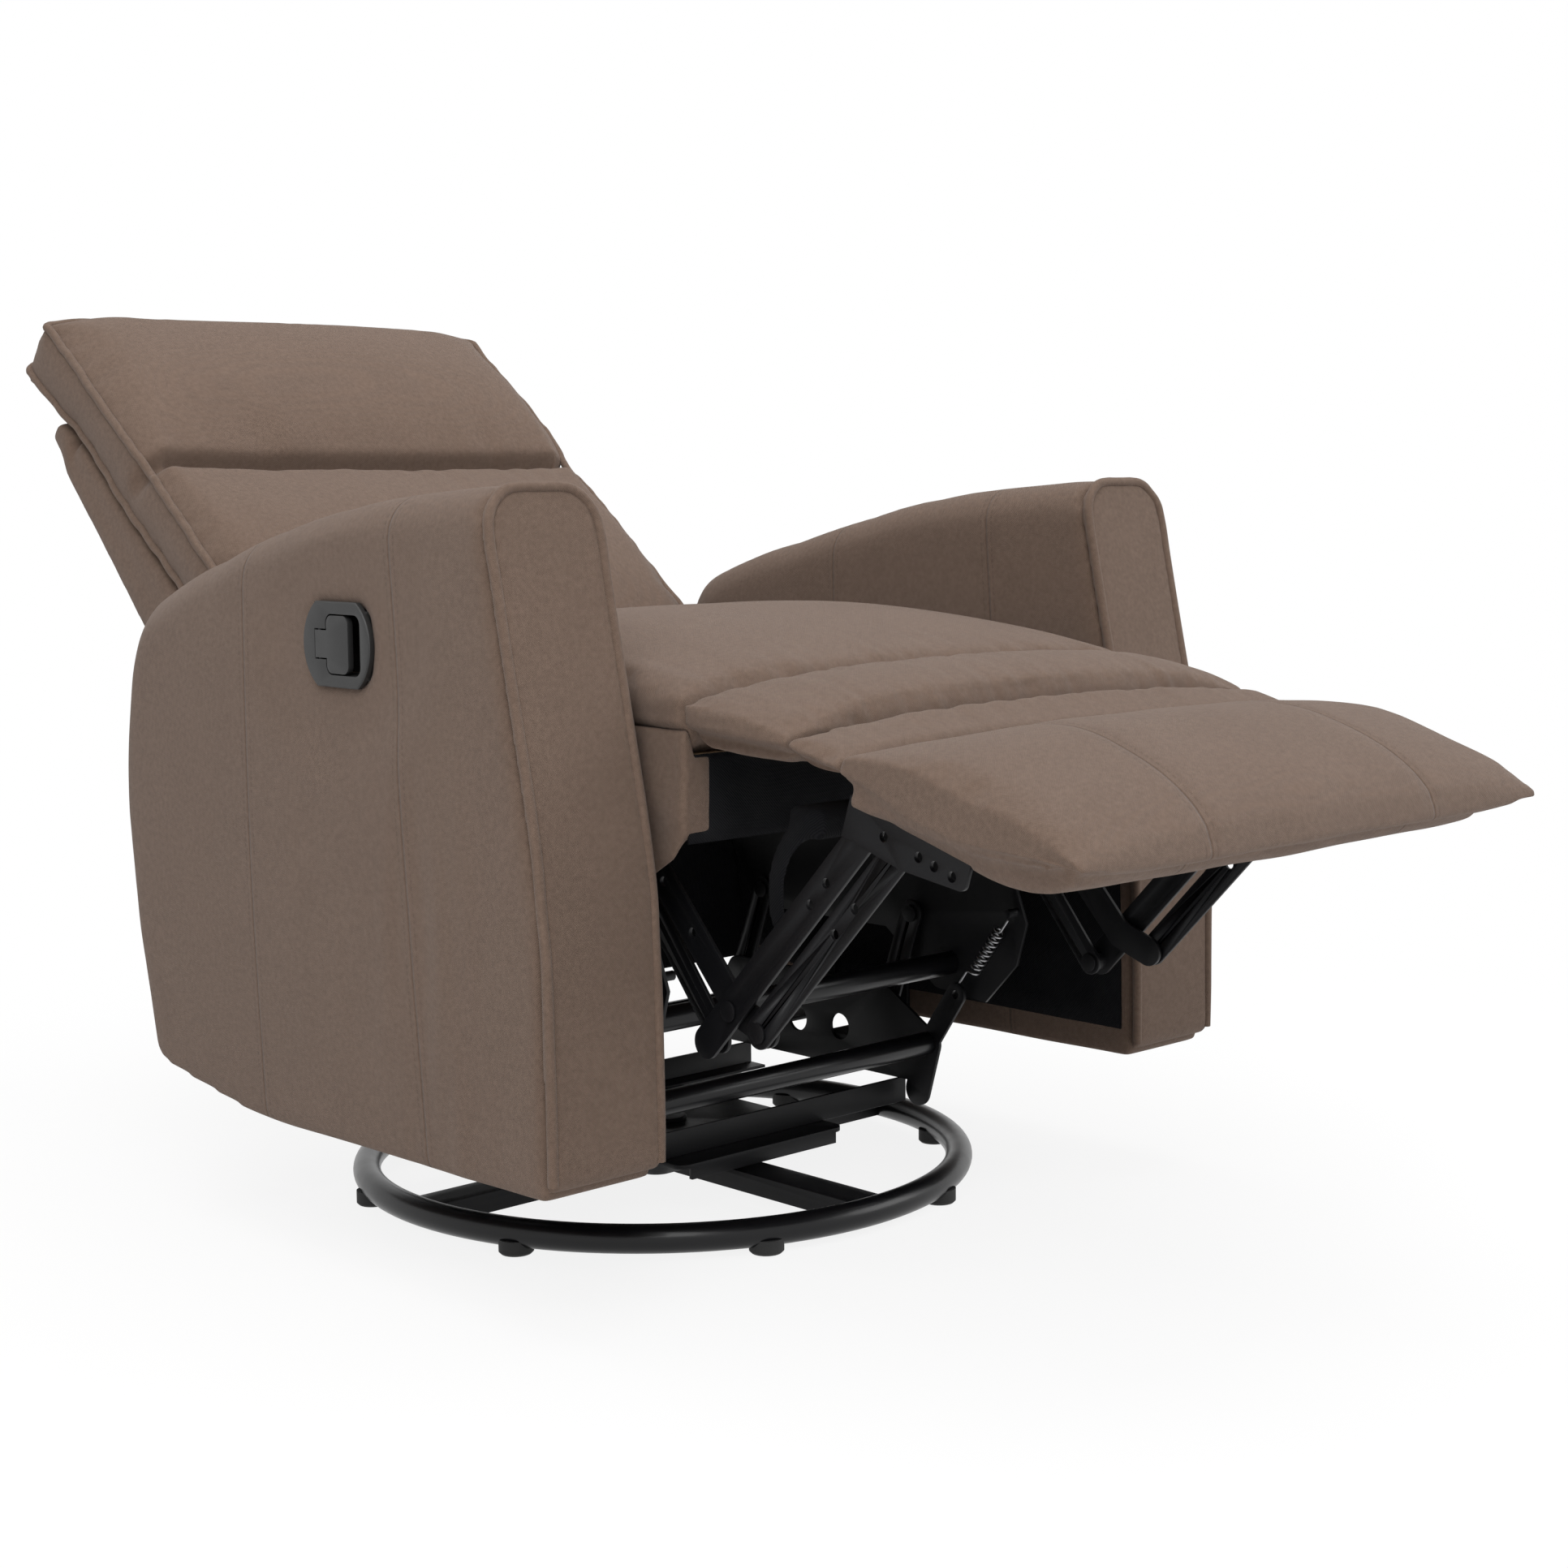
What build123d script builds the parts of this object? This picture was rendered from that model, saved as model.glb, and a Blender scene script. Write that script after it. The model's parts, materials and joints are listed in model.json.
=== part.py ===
import os
from math import atan2, cos, degrees, hypot, pi, radians, sin, sqrt

from build123d import *

os.makedirs("parts", exist_ok=True)

# Millimetres, +Z up, sitter facing -Y, in the reclined pose with the footrest out.
# Sizes are given from the swivel axis. The saved solids start from the floor under
# the middle of the reclined chair's length, which lies this far in front of the axis.
axis_behind_middle = 33.0

# Widths across the chair
seat_half = 275.0
arm_clearance = 11.0
arm_width = 106.0
arm_inner = seat_half + arm_clearance
arm_outer = arm_inner + arm_width
frame_inset = 13.0
frame_half = seat_half - frame_inset
mechanism_inset = 62.0

# Swivel base
ring_radius = 276.0
ring_tube = 12.5
foot_lift = 5.5
foot_radius = 15.0
foot_height = 13.0
foot_count = 8
spoke_width = 36.0
spoke_height = 18.0
spoke_wall = 2.5
hat_top_half = 92.0
hat_height = 13.0
hat_taper = 35.0
thrust_height = 6.0
thrust_inner = 42.0
thrust_outer = 70.0
king_pin_radius = 12.0
king_pin_head = 20.0
king_pin_nut = 15.0
turn_gap = 0.3
running_fit = 0.05
ring_z = foot_lift + ring_tube
spoke_top = ring_z + spoke_height / 2
hat_top = spoke_top + hat_height
thrust_top = hat_top + thrust_height

# Turning chassis
turntable_half_x = 100.0
turntable_half_y = 140.0
turntable_lip = 10.0
sheet = 4.0
rail_y = 100.0
rail_leg = 24.0
rail_wall = 3.0
rail_overhang = 9.0
tube_radius = 11.0
tube_wall = 2.0
front_tube = (-150.0, 114.0)
rear_tube = (140.0, 112.0)
turntable_z = thrust_top + turn_gap
rail_z = turntable_z + sheet

# Linkage plates stand in layers outwards from the middle of the chair
first_layer = frame_half - mechanism_inset
layer_pitch = 7.0
plate = 3.5
pin_radius = 5.0
shoulder_radius = 8.0
rivet_head = 2.2
side_play = 0.3
link_width = 26.0
base_layer, swing_layer, seat_layer, guide_layer, crank_layer, lift_layer, foot_layer = range(7)

# Pivots in the side view (y, z) with the chair reclined
swing_length = 90.0
swing_lean = 20.0
swing_front_low = (-90.0, 150.0)
swing_rear_low = (120.0, 150.0)
crank_pivot = (-235.0, 377.0)
guide_pivot = (-209.9, 361.9)
knee = (-360.0, 242.0)
level_step = (-33.0, -12.0)
foot_pivot = (-513.0, 400.0)
lift_tail = 40.0
open_pivot_play = 1.6
seat_tube = (-167.0, 192.0)
spring_low = (-186.0, 166.0)
spring_high = (-250.0, 250.0)
spring_wire = 1.1
spring_mean = 5.0
spring_turns = 9
spring_leg = 14.0
spring_bend = 4.0

# Seat
seat_front = -349.0
seat_rear = 175.0
frame_front = -340.0
frame_rear = 170.0
frame_bottom = 394.0
frame_top = 440.0
frame_board = 20.0
side_board = 50.0
webbing_width = 50.0
webbing_thick = 3.6
webbing_count = 4
soft_gap = 0.3
seat_edge_height = 40.0
seat_crown = 36.0
seat_draw = 5.0
seat_side_drop = 12.0
cover_thick = 4.0
cover_bottom = 350.0
cover_return = 26.0
lining_thick = 2.0
lining_bottom = 372.0

# Chaise pad and footrest
chaise_hinge = (-350.0, 446.0)
chaise_top_rear = 486.0
chaise_top_front = (-464.0, 469.0)
chaise_low_front = (-462.0, 442.0)
chaise_half = seat_half + 3.0
chaise_rise = 12.0
chaise_draw = 6.0
bridge_gap = 1.0
foot_rear = (-524.0, 453.0)
foot_front = (-737.0, 384.0)
foot_half = seat_half + 7.0
foot_crown = 30.0
foot_draw = 9.0
foot_under = 16.0
foot_nose = 8.0
board_thick = 20.0
board_start = 12.0
board_end = 195.0
board_inset = 30.0
slat_depth = 38.0
slat_thick = 24.0
slat_centre = (-440.0, 395.0)
bracket_front = -12.0
bracket_end = 112.0
bracket_knee = 50.0
bracket_depth = 68.0
bracket_end_depth = 58.0
bracket_hole_depth = 52.0
bracket_holes = (28.0, 64.0, 80.0, 98.0)
bracket_corner = 6.0
plate_holes = (-120.0, -40.0, 40.0)
plate_hole_drop = 62.0
arm_bracket_places = (-45.0, 60.0)
arm_bracket_foot = 2.0
arm_bracket_step = 30.0
arm_bracket_head = 84.0
strap_width = 18.0
strap_foot = 86.0
strap_bow = 31.0
strap_drop = 50.0
strap_end = 8.0

# Back, measured along its front plane (s, upwards) and behind it (t)
back_point = (302.0, 535.0)
back_lean = 51.0
back_half = seat_half - 9.0
back_top = 426.0
back_bottom = -100.0
back_tuck = 196.0
tuck_depth = 16.0
back_crown = 16.0
pad_thick = 60.0
stile_thick = 35.0
stile_width = 37.0
rail_height = 30.0
shell_thick = 28.0
shell_drop = 90.0
shell_draw = 8.0
shell_bow = 10.0
bracket_reach = 170.0
hinge_drop = 30.0

# Arms
arm_bottom = 120.0
arm_top = 644.0
arm_front_foot = -337.0
arm_front_top = -266.0
arm_bend = (5.0, 220.0)
arm_shoulder = (40.0, 641.0)
arm_rear_top = (272.0, 505.0)
arm_rear = (276.0, 380.0)
arm_rear_foot = (228.0, 144.0)
arm_sole = (60.0, 114.0)
arm_round = 34.0
arm_soft_from = 330.0
arm_face = 10.0
arm_lining_top = 392.0
lining_inset = 20.0
rear_panel_inset = 26.0
rear_panel_thick = 10.0
rear_panel_top = 310.0
bracket_strip = 40.0
bracket_sheet = 4.0

# Release lever in the right arm
lever_centre = (-76.0, 519.0)
bezel_length = 93.0
bezel_height = 68.0
bezel_proud = 5.0
cup_depth = 26.0
cup_wall = 3.0
cup_length = 74.0
cup_height = 54.0
paddle_gap = 1.2
paddle_length = 30.0
finger_room = 18.0
paddle_height = 46.0
stem_height = 22.0
stem_length = 16.0
lever_pin_radius = 1.5


def save(piece, name):
    placed = Pos(0, axis_behind_middle, 0) * piece.part
    placed.label = name
    export_step(placed, f"parts/{name}.step")


def layer(index):
    return first_layer + index * layer_pitch


def along(a, b, distance):
    length = hypot(b[0] - a[0], b[1] - a[1])
    return (a[0] + (b[0] - a[0]) * distance / length, a[1] + (b[1] - a[1]) * distance / length)


def shifted(a, step):
    return (a[0] + step[0], a[1] + step[1])


def bar(a, b, width):
    with Locations(((a[0] + b[0]) / 2, (a[1] + b[1]) / 2)):
        turn = degrees(atan2(b[1] - a[1], b[0] - a[0]))
        SlotCenterToCenter(hypot(b[0] - a[0], b[1] - a[1]), width, rotation=turn)


def bore(point, radius):
    with Locations(point):
        Circle(radius, mode=Mode.SUBTRACT)


def stud(point, radius, side, start, end):
    with BuildSketch(Plane.YZ.offset(side * start)) as round_face:
        with Locations(point):
            Circle(radius)
    extrude(round_face.sketch, amount=side * (end - start))


def rivet(point, side, owner, mate, radius=pin_radius):
    way = 1 if mate > owner else -1
    face = layer(owner) + (plate if way > 0 else 0)
    near = layer(mate) + (0 if way > 0 else plate)
    far = layer(mate) + (plate if way > 0 else 0)
    stud(point, shoulder_radius, side, face, near - way * side_play)
    stud(point, radius, side, near - way * side_play, far + way * side_play)
    stud(point, shoulder_radius, side, far + way * side_play, far + way * (side_play + rivet_head))


def lofted(sections):
    faces = []
    for x, outline in sections:
        with BuildSketch(Plane.YZ.offset(x)) as section:
            with BuildLine() as edge:
                for points in outline:
                    if len(points) == 3:
                        ThreePointArc(*points)
                    else:
                        Line(*points)
            make_face(edge.edges())
        faces.append(section.sketch)
    loft(faces)


def bowed(a, b, rise):
    middle = ((a[0] + b[0]) / 2, (a[1] + b[1]) / 2)
    length = hypot(b[0] - a[0], b[1] - a[1])
    normal = (-(b[1] - a[1]) / length, (b[0] - a[0]) / length)
    return (a, (middle[0] + rise * normal[0], middle[1] + rise * normal[1]), b)


pin_hole = pin_radius + running_fit
swing_step = (-swing_length * sin(radians(swing_lean)), swing_length * cos(radians(swing_lean)))
swing_front_high = shifted(swing_front_low, swing_step)
swing_rear_high = shifted(swing_rear_low, swing_step)
level_low = shifted(knee, level_step)
level_high = shifted(foot_pivot, level_step)
guide_end = along(knee, foot_pivot, -lift_tail)
foot_length = hypot(foot_front[0] - foot_rear[0], foot_front[1] - foot_rear[1])
foot_way = ((foot_front[0] - foot_rear[0]) / foot_length, (foot_front[1] - foot_rear[1]) / foot_length)
back_way = (sin(radians(back_lean)), cos(radians(back_lean)))


def on_foot(u, w):
    return (foot_rear[0] + u * foot_way[0] + w * foot_way[1], foot_rear[1] + u * foot_way[1] - w * foot_way[0])


def on_back(s, t):
    return (back_point[0] + s * back_way[0] + t * back_way[1], back_point[1] + s * back_way[1] - t * back_way[0])


back_pivot = on_back(back_bottom - hinge_drop, pad_thick + stile_thick / 2)


# Swivel base

with BuildPart() as base_ring:
    with Locations((0, 0, ring_z)):
        Torus(ring_radius, ring_tube)
save(base_ring, "base_ring")

with BuildPart() as base_cross:
    for plane in (Plane.YZ, Plane.XZ):
        with BuildSketch(plane):
            with Locations((0, ring_z)):
                Rectangle(spoke_width, spoke_height)
            with Locations((0, ring_z - spoke_wall)):
                Rectangle(spoke_width - 2 * spoke_wall, spoke_height, mode=Mode.SUBTRACT)
        extrude(amount=ring_radius, both=True)
    with Locations((0, 0, spoke_top - spoke_wall / 2)):
        Cylinder(spoke_width, spoke_wall)
    with Locations((0, 0, ring_z)):
        Torus(ring_radius, ring_tube, mode=Mode.SUBTRACT)
        Cylinder(king_pin_radius + running_fit, 2 * spoke_height, mode=Mode.SUBTRACT)
    with BuildSketch(Plane.XY):
        Circle(2 * ring_radius)
        Circle(ring_radius, mode=Mode.SUBTRACT)
    extrude(amount=2 * ring_z, mode=Mode.SUBTRACT)
save(base_cross, "base_cross")

with BuildPart() as base_feet:
    with PolarLocations(ring_radius, foot_count, start_angle=180 / foot_count):
        Cylinder(foot_radius, foot_height, align=(Align.CENTER, Align.CENTER, Align.MIN))
    chamfer(base_feet.edges().group_by(Axis.Z)[0], 2)
    with Locations((0, 0, ring_z)):
        Torus(ring_radius, ring_tube, mode=Mode.SUBTRACT)
save(base_feet, "base_feet")

with BuildPart() as swivel_lower_plate:
    with BuildSketch(Plane.XY.offset(hat_top)):
        RectangleRounded(2 * hat_top_half, 2 * hat_top_half, 24)
    extrude(amount=-hat_height, taper=hat_taper)
    with Locations((0, 0, hat_top - hat_height / 2)):
        Cylinder(king_pin_radius + running_fit, 2 * hat_height, mode=Mode.SUBTRACT)
save(swivel_lower_plate, "swivel_lower_plate")

with BuildPart() as swivel_thrust_ring:
    with BuildSketch(Plane.XY.offset(hat_top)):
        Circle(thrust_outer)
        Circle(thrust_inner, mode=Mode.SUBTRACT)
    extrude(amount=thrust_height)
save(swivel_thrust_ring, "swivel_thrust_ring")

with BuildPart() as swivel_pin:
    with BuildSketch(Plane.XY.offset(spoke_top - spoke_wall)):
        RegularPolygon(king_pin_nut, 6)
    extrude(amount=-spoke_wall * 3)
    with BuildSketch(Plane.XY.offset(spoke_top - spoke_wall)):
        Circle(king_pin_radius)
    extrude(amount=rail_z + side_play - spoke_top + spoke_wall)
    with BuildSketch(Plane.XY.offset(rail_z + side_play)):
        Circle(king_pin_head)
    extrude(amount=sheet)
    chamfer(swivel_pin.edges().group_by(Axis.Z)[-1], 1)
save(swivel_pin, "swivel_pin")

# Turning chassis

with BuildPart() as swivel_upper_plate:
    with BuildSketch(Plane.XY.offset(turntable_z)):
        RectangleRounded(2 * turntable_half_x, 2 * turntable_half_y, 12)
        Circle(king_pin_radius + running_fit, mode=Mode.SUBTRACT)
    extrude(amount=sheet)
    for end in (-1, 1):
        with Locations((0, end * (turntable_half_y - sheet / 2), turntable_z - turntable_lip / 2)):
            Box(2 * turntable_half_x - 24, sheet, turntable_lip)
save(swivel_upper_plate, "swivel_upper_plate")

for end, name in ((-1, "rail_front"), (1, "rail_rear")):
    with BuildPart() as rail:
        with BuildSketch(Plane.YZ):
            with BuildLine():
                corner = end * (rail_y + rail_leg / 2)
                Polyline(
                    (corner, rail_z),
                    (corner - end * rail_leg, rail_z),
                    (corner - end * rail_leg, rail_z + rail_wall),
                    (corner - end * rail_wall, rail_z + rail_wall),
                    (corner - end * rail_wall, rail_z + rail_leg),
                    (corner, rail_z + rail_leg),
                    close=True,
                )
            make_face()
        extrude(amount=first_layer + rail_overhang, both=True)
    save(rail, name)

rail_top = rail_z + rail_leg

for place, name in ((front_tube, "front_cross_tube"), (rear_tube, "rear_cross_tube")):
    with BuildPart() as tube:
        with BuildSketch(Plane.YZ):
            with Locations(place):
                Circle(tube_radius)
                Circle(tube_radius - tube_wall, mode=Mode.SUBTRACT)
        extrude(amount=layer(base_layer), both=True)
    save(tube, name)

with BuildPart() as chassis_bolts:
    for side in (-1, 1):
        for place in (front_tube, rear_tube):
            with BuildSketch(Plane.YZ.offset(side * (layer(base_layer) + plate))):
                with Locations(place):
                    RegularPolygon(shoulder_radius, 6)
            extrude(amount=side * plate)
        for end in (-1, 1):
            with Locations((side * turntable_half_x * 0.7, end * (rail_y - rail_wall / 2), rail_z + rail_wall)):
                Cylinder(shoulder_radius - 1, plate, align=(Align.CENTER, Align.CENTER, Align.MIN))
save(chassis_bolts, "chassis_bolts")

for side, name in ((-1, "right"), (1, "left")):
    with BuildPart() as base_plate:
        with BuildSketch(Plane.YZ.offset(side * layer(base_layer))):
            with BuildLine():
                Polyline(
                    (front_tube[0], rail_top),
                    (front_tube[0], front_tube[1]),
                    swing_front_low,
                    swing_rear_low,
                    (rear_tube[0] + link_width, rail_top),
                    close=True,
                )
            make_face()
            bar(spring_low, front_tube, link_width - 4)
            bar(front_tube, (front_tube[0] + 14, rail_z + 16), link_width + 4)
            bar(front_tube, swing_front_low, link_width)
            bar(swing_front_low, swing_rear_low, link_width)
            bar(swing_rear_low, (rear_tube[0] + 4, rear_tube[1]), link_width)
            with Locations((rail_y, rail_z + rail_leg / 2), (-rail_y, rail_z + rail_leg / 2)):
                Rectangle(rail_leg + 2 * side_play, rail_leg, mode=Mode.SUBTRACT)
            bore(spring_low, pin_radius - 1)
            for y in (-30, 30, 80):
                bore((y, (rail_top + swing_front_low[1]) / 2), link_width / 2)
        extrude(amount=side * plate)
        rivet(swing_front_low, side, base_layer, swing_layer)
        rivet(swing_rear_low, side, base_layer, swing_layer)
    save(base_plate, f"base_plate_{name}")

    for low, high, place in (
        (swing_front_low, swing_front_high, "front"),
        (swing_rear_low, swing_rear_high, "rear"),
    ):
        with BuildPart() as swing_link:
            with BuildSketch(Plane.YZ.offset(side * layer(swing_layer))):
                bar(low, high, link_width)
                bore(low, pin_hole)
                bore(high, pin_hole)
            extrude(amount=side * plate)
        save(swing_link, f"swing_link_{place}_{name}")

    with BuildPart() as arm_bracket:
        for y in arm_bracket_places:
            with BuildSketch(Plane.XZ.offset(-y)):
                with BuildLine():
                    inner = layer(base_layer) + plate
                    outer = arm_inner - lining_thick
                    Polyline(
                        (side * inner, rail_top + arm_bracket_foot),
                        (side * inner, rail_top + arm_bracket_step),
                        (side * (outer - bracket_sheet), rail_top + arm_bracket_step),
                        (side * (outer - bracket_sheet), rail_top + arm_bracket_head),
                        (side * outer, rail_top + arm_bracket_head),
                        (side * outer, rail_top + arm_bracket_step - bracket_sheet),
                        (side * (inner + bracket_sheet), rail_top + arm_bracket_step - bracket_sheet),
                        (side * (inner + bracket_sheet), rail_top + arm_bracket_foot),
                        close=True,
                    )
                make_face()
            extrude(amount=-bracket_strip)
    save(arm_bracket, f"arm_bracket_{name}")

# Seat mechanism and footrest linkage

for side, name in ((-1, "right"), (1, "left")):
    with BuildPart() as seat_plate:
        with BuildSketch(Plane.YZ.offset(side * layer(seat_layer))):
            with BuildLine():
                Polyline(
                    (crank_pivot[0] - 16, frame_bottom),
                    (crank_pivot[0] - 16, crank_pivot[1] + 4),
                    (guide_pivot[0] - 14, guide_pivot[1] - 24),
                    (spring_high[0] - 12, spring_high[1] - 10),
                    (spring_high[0], spring_high[1] - 50),
                    (seat_tube[0] - 44, seat_tube[1] - 32),
                    (seat_tube[0] + 20, seat_tube[1] - 26),
                    (swing_front_high[0] + 40, swing_front_high[1] - 18),
                    (swing_rear_high[0] + 20, swing_rear_high[1] - 18),
                    (frame_rear, frame_bottom - 60),
                    (frame_rear, frame_bottom),
                    close=True,
                )
            make_face()
            bar((frame_rear - 40, frame_bottom - 46), back_pivot, link_width + 4)
            for y in plate_holes:
                bore((y, frame_bottom - plate_hole_drop), link_width)
        extrude(amount=side * plate)
        with BuildSketch(Plane.XY.offset(frame_bottom - plate)):
            with Locations((side * (layer(seat_layer) - link_width / 2), (crank_pivot[0] + frame_rear) / 2)):
                Rectangle(link_width, frame_rear - crank_pivot[0] - 20)
        extrude(amount=plate)
        stud(spring_high, pin_radius - 1, side, layer(seat_layer), layer(swing_layer) - 6)
        rivet(crank_pivot, side, seat_layer, crank_layer)
        rivet(guide_pivot, side, seat_layer, guide_layer)
        rivet(back_pivot, side, seat_layer, guide_layer)
        rivet(swing_front_high, side, seat_layer, swing_layer)
        rivet(swing_rear_high, side, seat_layer, swing_layer)
    save(seat_plate, f"seat_plate_{name}")

    with BuildPart() as crank_link:
        with BuildSketch(Plane.YZ.offset(side * layer(crank_layer))):
            bar(crank_pivot, knee, link_width)
            bar(knee, level_low, link_width)
            bore(crank_pivot, pin_hole)
            for distance in (60, 110):
                bore(along(crank_pivot, knee, distance), pin_radius - 1)
        extrude(amount=side * plate)
        rivet(knee, side, crank_layer, lift_layer)
        rivet(level_low, side, crank_layer, lift_layer)
    save(crank_link, f"crank_link_{name}")

    with BuildPart() as guide_link:
        with BuildSketch(Plane.YZ.offset(side * layer(guide_layer))):
            bar(guide_pivot, guide_end, link_width - 4)
            bore(guide_pivot, pin_hole)
            bore(guide_end, pin_radius + open_pivot_play)
        extrude(amount=side * plate)
    save(guide_link, f"guide_link_{name}")

    with BuildPart() as lift_link:
        with BuildSketch(Plane.YZ.offset(side * layer(lift_layer))):
            bar(guide_end, foot_pivot, link_width)
            bore(knee, pin_hole)
            bore(foot_pivot, pin_hole)
            for distance in (130, 155):
                bore(along(knee, foot_pivot, distance), pin_radius - 1)
        extrude(amount=side * plate)
        rivet(guide_end, side, lift_layer, guide_layer)
    save(lift_link, f"lift_link_{name}")

    with BuildPart() as level_link:
        with BuildSketch(Plane.YZ.offset(side * layer(lift_layer))):
            bar(level_low, level_high, link_width)
            bore(level_low, pin_hole)
            bore(level_high, pin_hole)
            for distance in (120, 150):
                bore(along(level_low, level_high, distance), pin_radius - 1)
        extrude(amount=side * plate)
    save(level_link, f"level_link_{name}")

    with BuildPart() as footrest_bracket:
        with BuildSketch(Plane.YZ.offset(side * layer(foot_layer))):
            with BuildLine():
                Polyline(
                    on_foot(bracket_front, -foot_under - soft_gap - board_thick),
                    on_foot(bracket_front, -bracket_depth),
                    on_foot(bracket_knee, -bracket_depth),
                    on_foot(bracket_end, -bracket_end_depth),
                    on_foot(bracket_end, -foot_under - soft_gap - board_thick),
                    close=True,
                )
            make_face()
            for u in bracket_holes:
                bore(on_foot(u, -bracket_hole_depth), pin_radius - 1)
        extrude(amount=side * plate)
        fillet(footrest_bracket.edges().filter_by(Axis.X).sort_by(Axis.Z)[:3], bracket_corner)
        with BuildSketch(Plane.YZ.offset(side * (layer(foot_layer) + plate))):
            with BuildLine():
                low = -foot_under - soft_gap - board_thick
                Polyline(
                    on_foot(board_start, low),
                    on_foot(bracket_end, low),
                    on_foot(bracket_end, low - plate),
                    on_foot(board_start, low - plate),
                    close=True,
                )
            make_face()
        extrude(amount=-side * link_width)
        rivet(foot_pivot, side, foot_layer, lift_layer)
        rivet(level_high, side, foot_layer, lift_layer)
    save(footrest_bracket, f"footrest_bracket_{name}")

with BuildPart() as seat_cross_tube:
    with BuildSketch(Plane.YZ):
        with Locations(seat_tube):
            Circle(tube_radius)
            Circle(tube_radius - tube_wall, mode=Mode.SUBTRACT)
    extrude(amount=layer(seat_layer), both=True)
save(seat_cross_tube, "seat_cross_tube")


def biarc(p, p_way, q, q_way):
    chord = q - p
    both = p_way + q_way
    a = 2 * (1 - p_way.dot(q_way))
    b = 2 * chord.dot(both)
    reach = (-b + sqrt(b * b + 4 * a * chord.dot(chord))) / (2 * a)
    joint = (p + p_way * reach + q - q_way * reach) * 0.5
    first = TangentArc(p, joint, tangent=p_way)
    TangentArc(joint, q, tangent=first % 1)


for side, name in ((-1, "right"), (1, "left")):
    with BuildPart() as return_spring:
        middle_x = side * (layer(base_layer) + layer(seat_layer)) / 2
        low = Vector(middle_x, *spring_low)
        axis = (Vector(middle_x, *spring_high) - low).normalized()
        across = Vector(side, 0, 0)
        round_way = axis.cross(across)
        span = hypot(spring_high[0] - spring_low[0], spring_high[1] - spring_low[1])
        start = (link_width - 4) / 2 + soft_gap
        stop = span - (pin_radius - 1) - soft_gap
        coil_start = start + spring_leg + spring_bend
        pitch = (stop - spring_leg - spring_bend - coil_start) / spring_turns

        def on_coil(turn):
            angle = 2 * pi * turn
            return low + axis * (coil_start + pitch * turn) + (across * -cos(angle) + round_way * -sin(angle)) * spring_mean

        def coil_way(turn):
            angle = 2 * pi * turn
            way = axis * pitch + (across * sin(angle) + round_way * -cos(angle)) * (2 * pi * spring_mean)
            return way.normalized()

        with BuildLine() as wire_path:
            first_leg = on_coil(0) + round_way * spring_bend - axis * spring_bend
            Line(first_leg - axis * spring_leg, first_leg)
            biarc(first_leg, axis, on_coil(0), coil_way(0))
            for half in range(2 * spring_turns):
                biarc(on_coil(half / 2), coil_way(half / 2), on_coil(half / 2 + 0.5), coil_way(half / 2 + 0.5))
            last_leg = on_coil(spring_turns) - round_way * spring_bend + axis * spring_bend
            biarc(on_coil(spring_turns), coil_way(spring_turns), last_leg, axis)
            Line(last_leg, last_leg + axis * spring_leg)
        with BuildSketch(Plane(origin=first_leg - axis * spring_leg, z_dir=axis)):
            Circle(spring_wire)
        sweep(path=wire_path.wires()[0])
    save(return_spring, f"return_spring_{name}")
print(f"return spring: least gap between turns {pitch - 2 * spring_wire:.2f} mm")

# Seat

with BuildPart() as seat_frame:
    frame_middle = (frame_bottom + frame_top) / 2
    frame_height = frame_top - frame_bottom
    for y in (frame_front + frame_board / 2, frame_rear - frame_board / 2):
        with Locations((0, y, frame_middle)):
            Box(2 * frame_half, frame_board, frame_height)
    for side in (-1, 1):
        with Locations((side * (frame_half - side_board / 2), (frame_front + frame_rear) / 2, frame_middle)):
            Box(side_board, frame_rear - frame_front - 2 * frame_board, frame_height)
save(seat_frame, "seat_frame")

with BuildPart() as seat_webbing:
    with BuildSketch(Plane.XY.offset(frame_top)):
        with Locations((0, (frame_front + frame_rear) / 2)):
            with GridLocations(2 * (frame_half - side_board) / webbing_count, 0, webbing_count, 1):
                Rectangle(webbing_width, frame_rear - frame_front - frame_board)
    extrude(amount=webbing_thick)
save(seat_webbing, "seat_webbing")


def pillow(half, outline):
    lofted([(half * place, outline(crown)) for place, crown in ((-1, 0), (-0.75, 0.7), (0, 1), (0.75, 0.7), (1, 0))])


cushion_bottom = frame_top + webbing_thick + soft_gap


def seat_outline(crown):
    top = cushion_bottom + seat_edge_height - seat_draw * (1 - crown)
    corners = [
        (seat_front, cushion_bottom),
        (seat_front, top),
        (seat_rear, top),
        (seat_rear, cushion_bottom),
    ]
    return [
        (corners[0], corners[1]),
        bowed(corners[1], corners[2], seat_crown - seat_side_drop * (1 - crown)),
        (corners[2], corners[3]),
        (corners[3], corners[0]),
    ]


with BuildPart() as seat_cushion:
    pillow(seat_half, seat_outline)
save(seat_cushion, "seat_cushion")

with BuildPart() as seat_front_lining:
    with Locations((0, frame_front - lining_thick / 2, (lining_bottom + frame_top) / 2)):
        Box(2 * frame_half, lining_thick, frame_top - lining_bottom)
save(seat_front_lining, "seat_front_lining")

for side, name in ((-1, "right"), (1, "left")):
    with BuildPart() as seat_side:
        with BuildSketch(Plane.XY.offset(cover_bottom)):
            with BuildLine():
                inside = frame_half
                outside = frame_half + cover_thick
                return_face = frame_front - lining_thick
                Polyline(
                    (side * inside, frame_rear),
                    (side * outside, frame_rear),
                    (side * outside, return_face - cover_thick),
                    (side * (outside - cover_return), return_face - cover_thick),
                    (side * (outside - cover_return), return_face),
                    (side * inside, return_face),
                    close=True,
                )
            make_face()
        extrude(amount=frame_top - cover_bottom)
    save(seat_side, f"seat_side_{name}")

# Chaise pad and footrest


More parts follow.
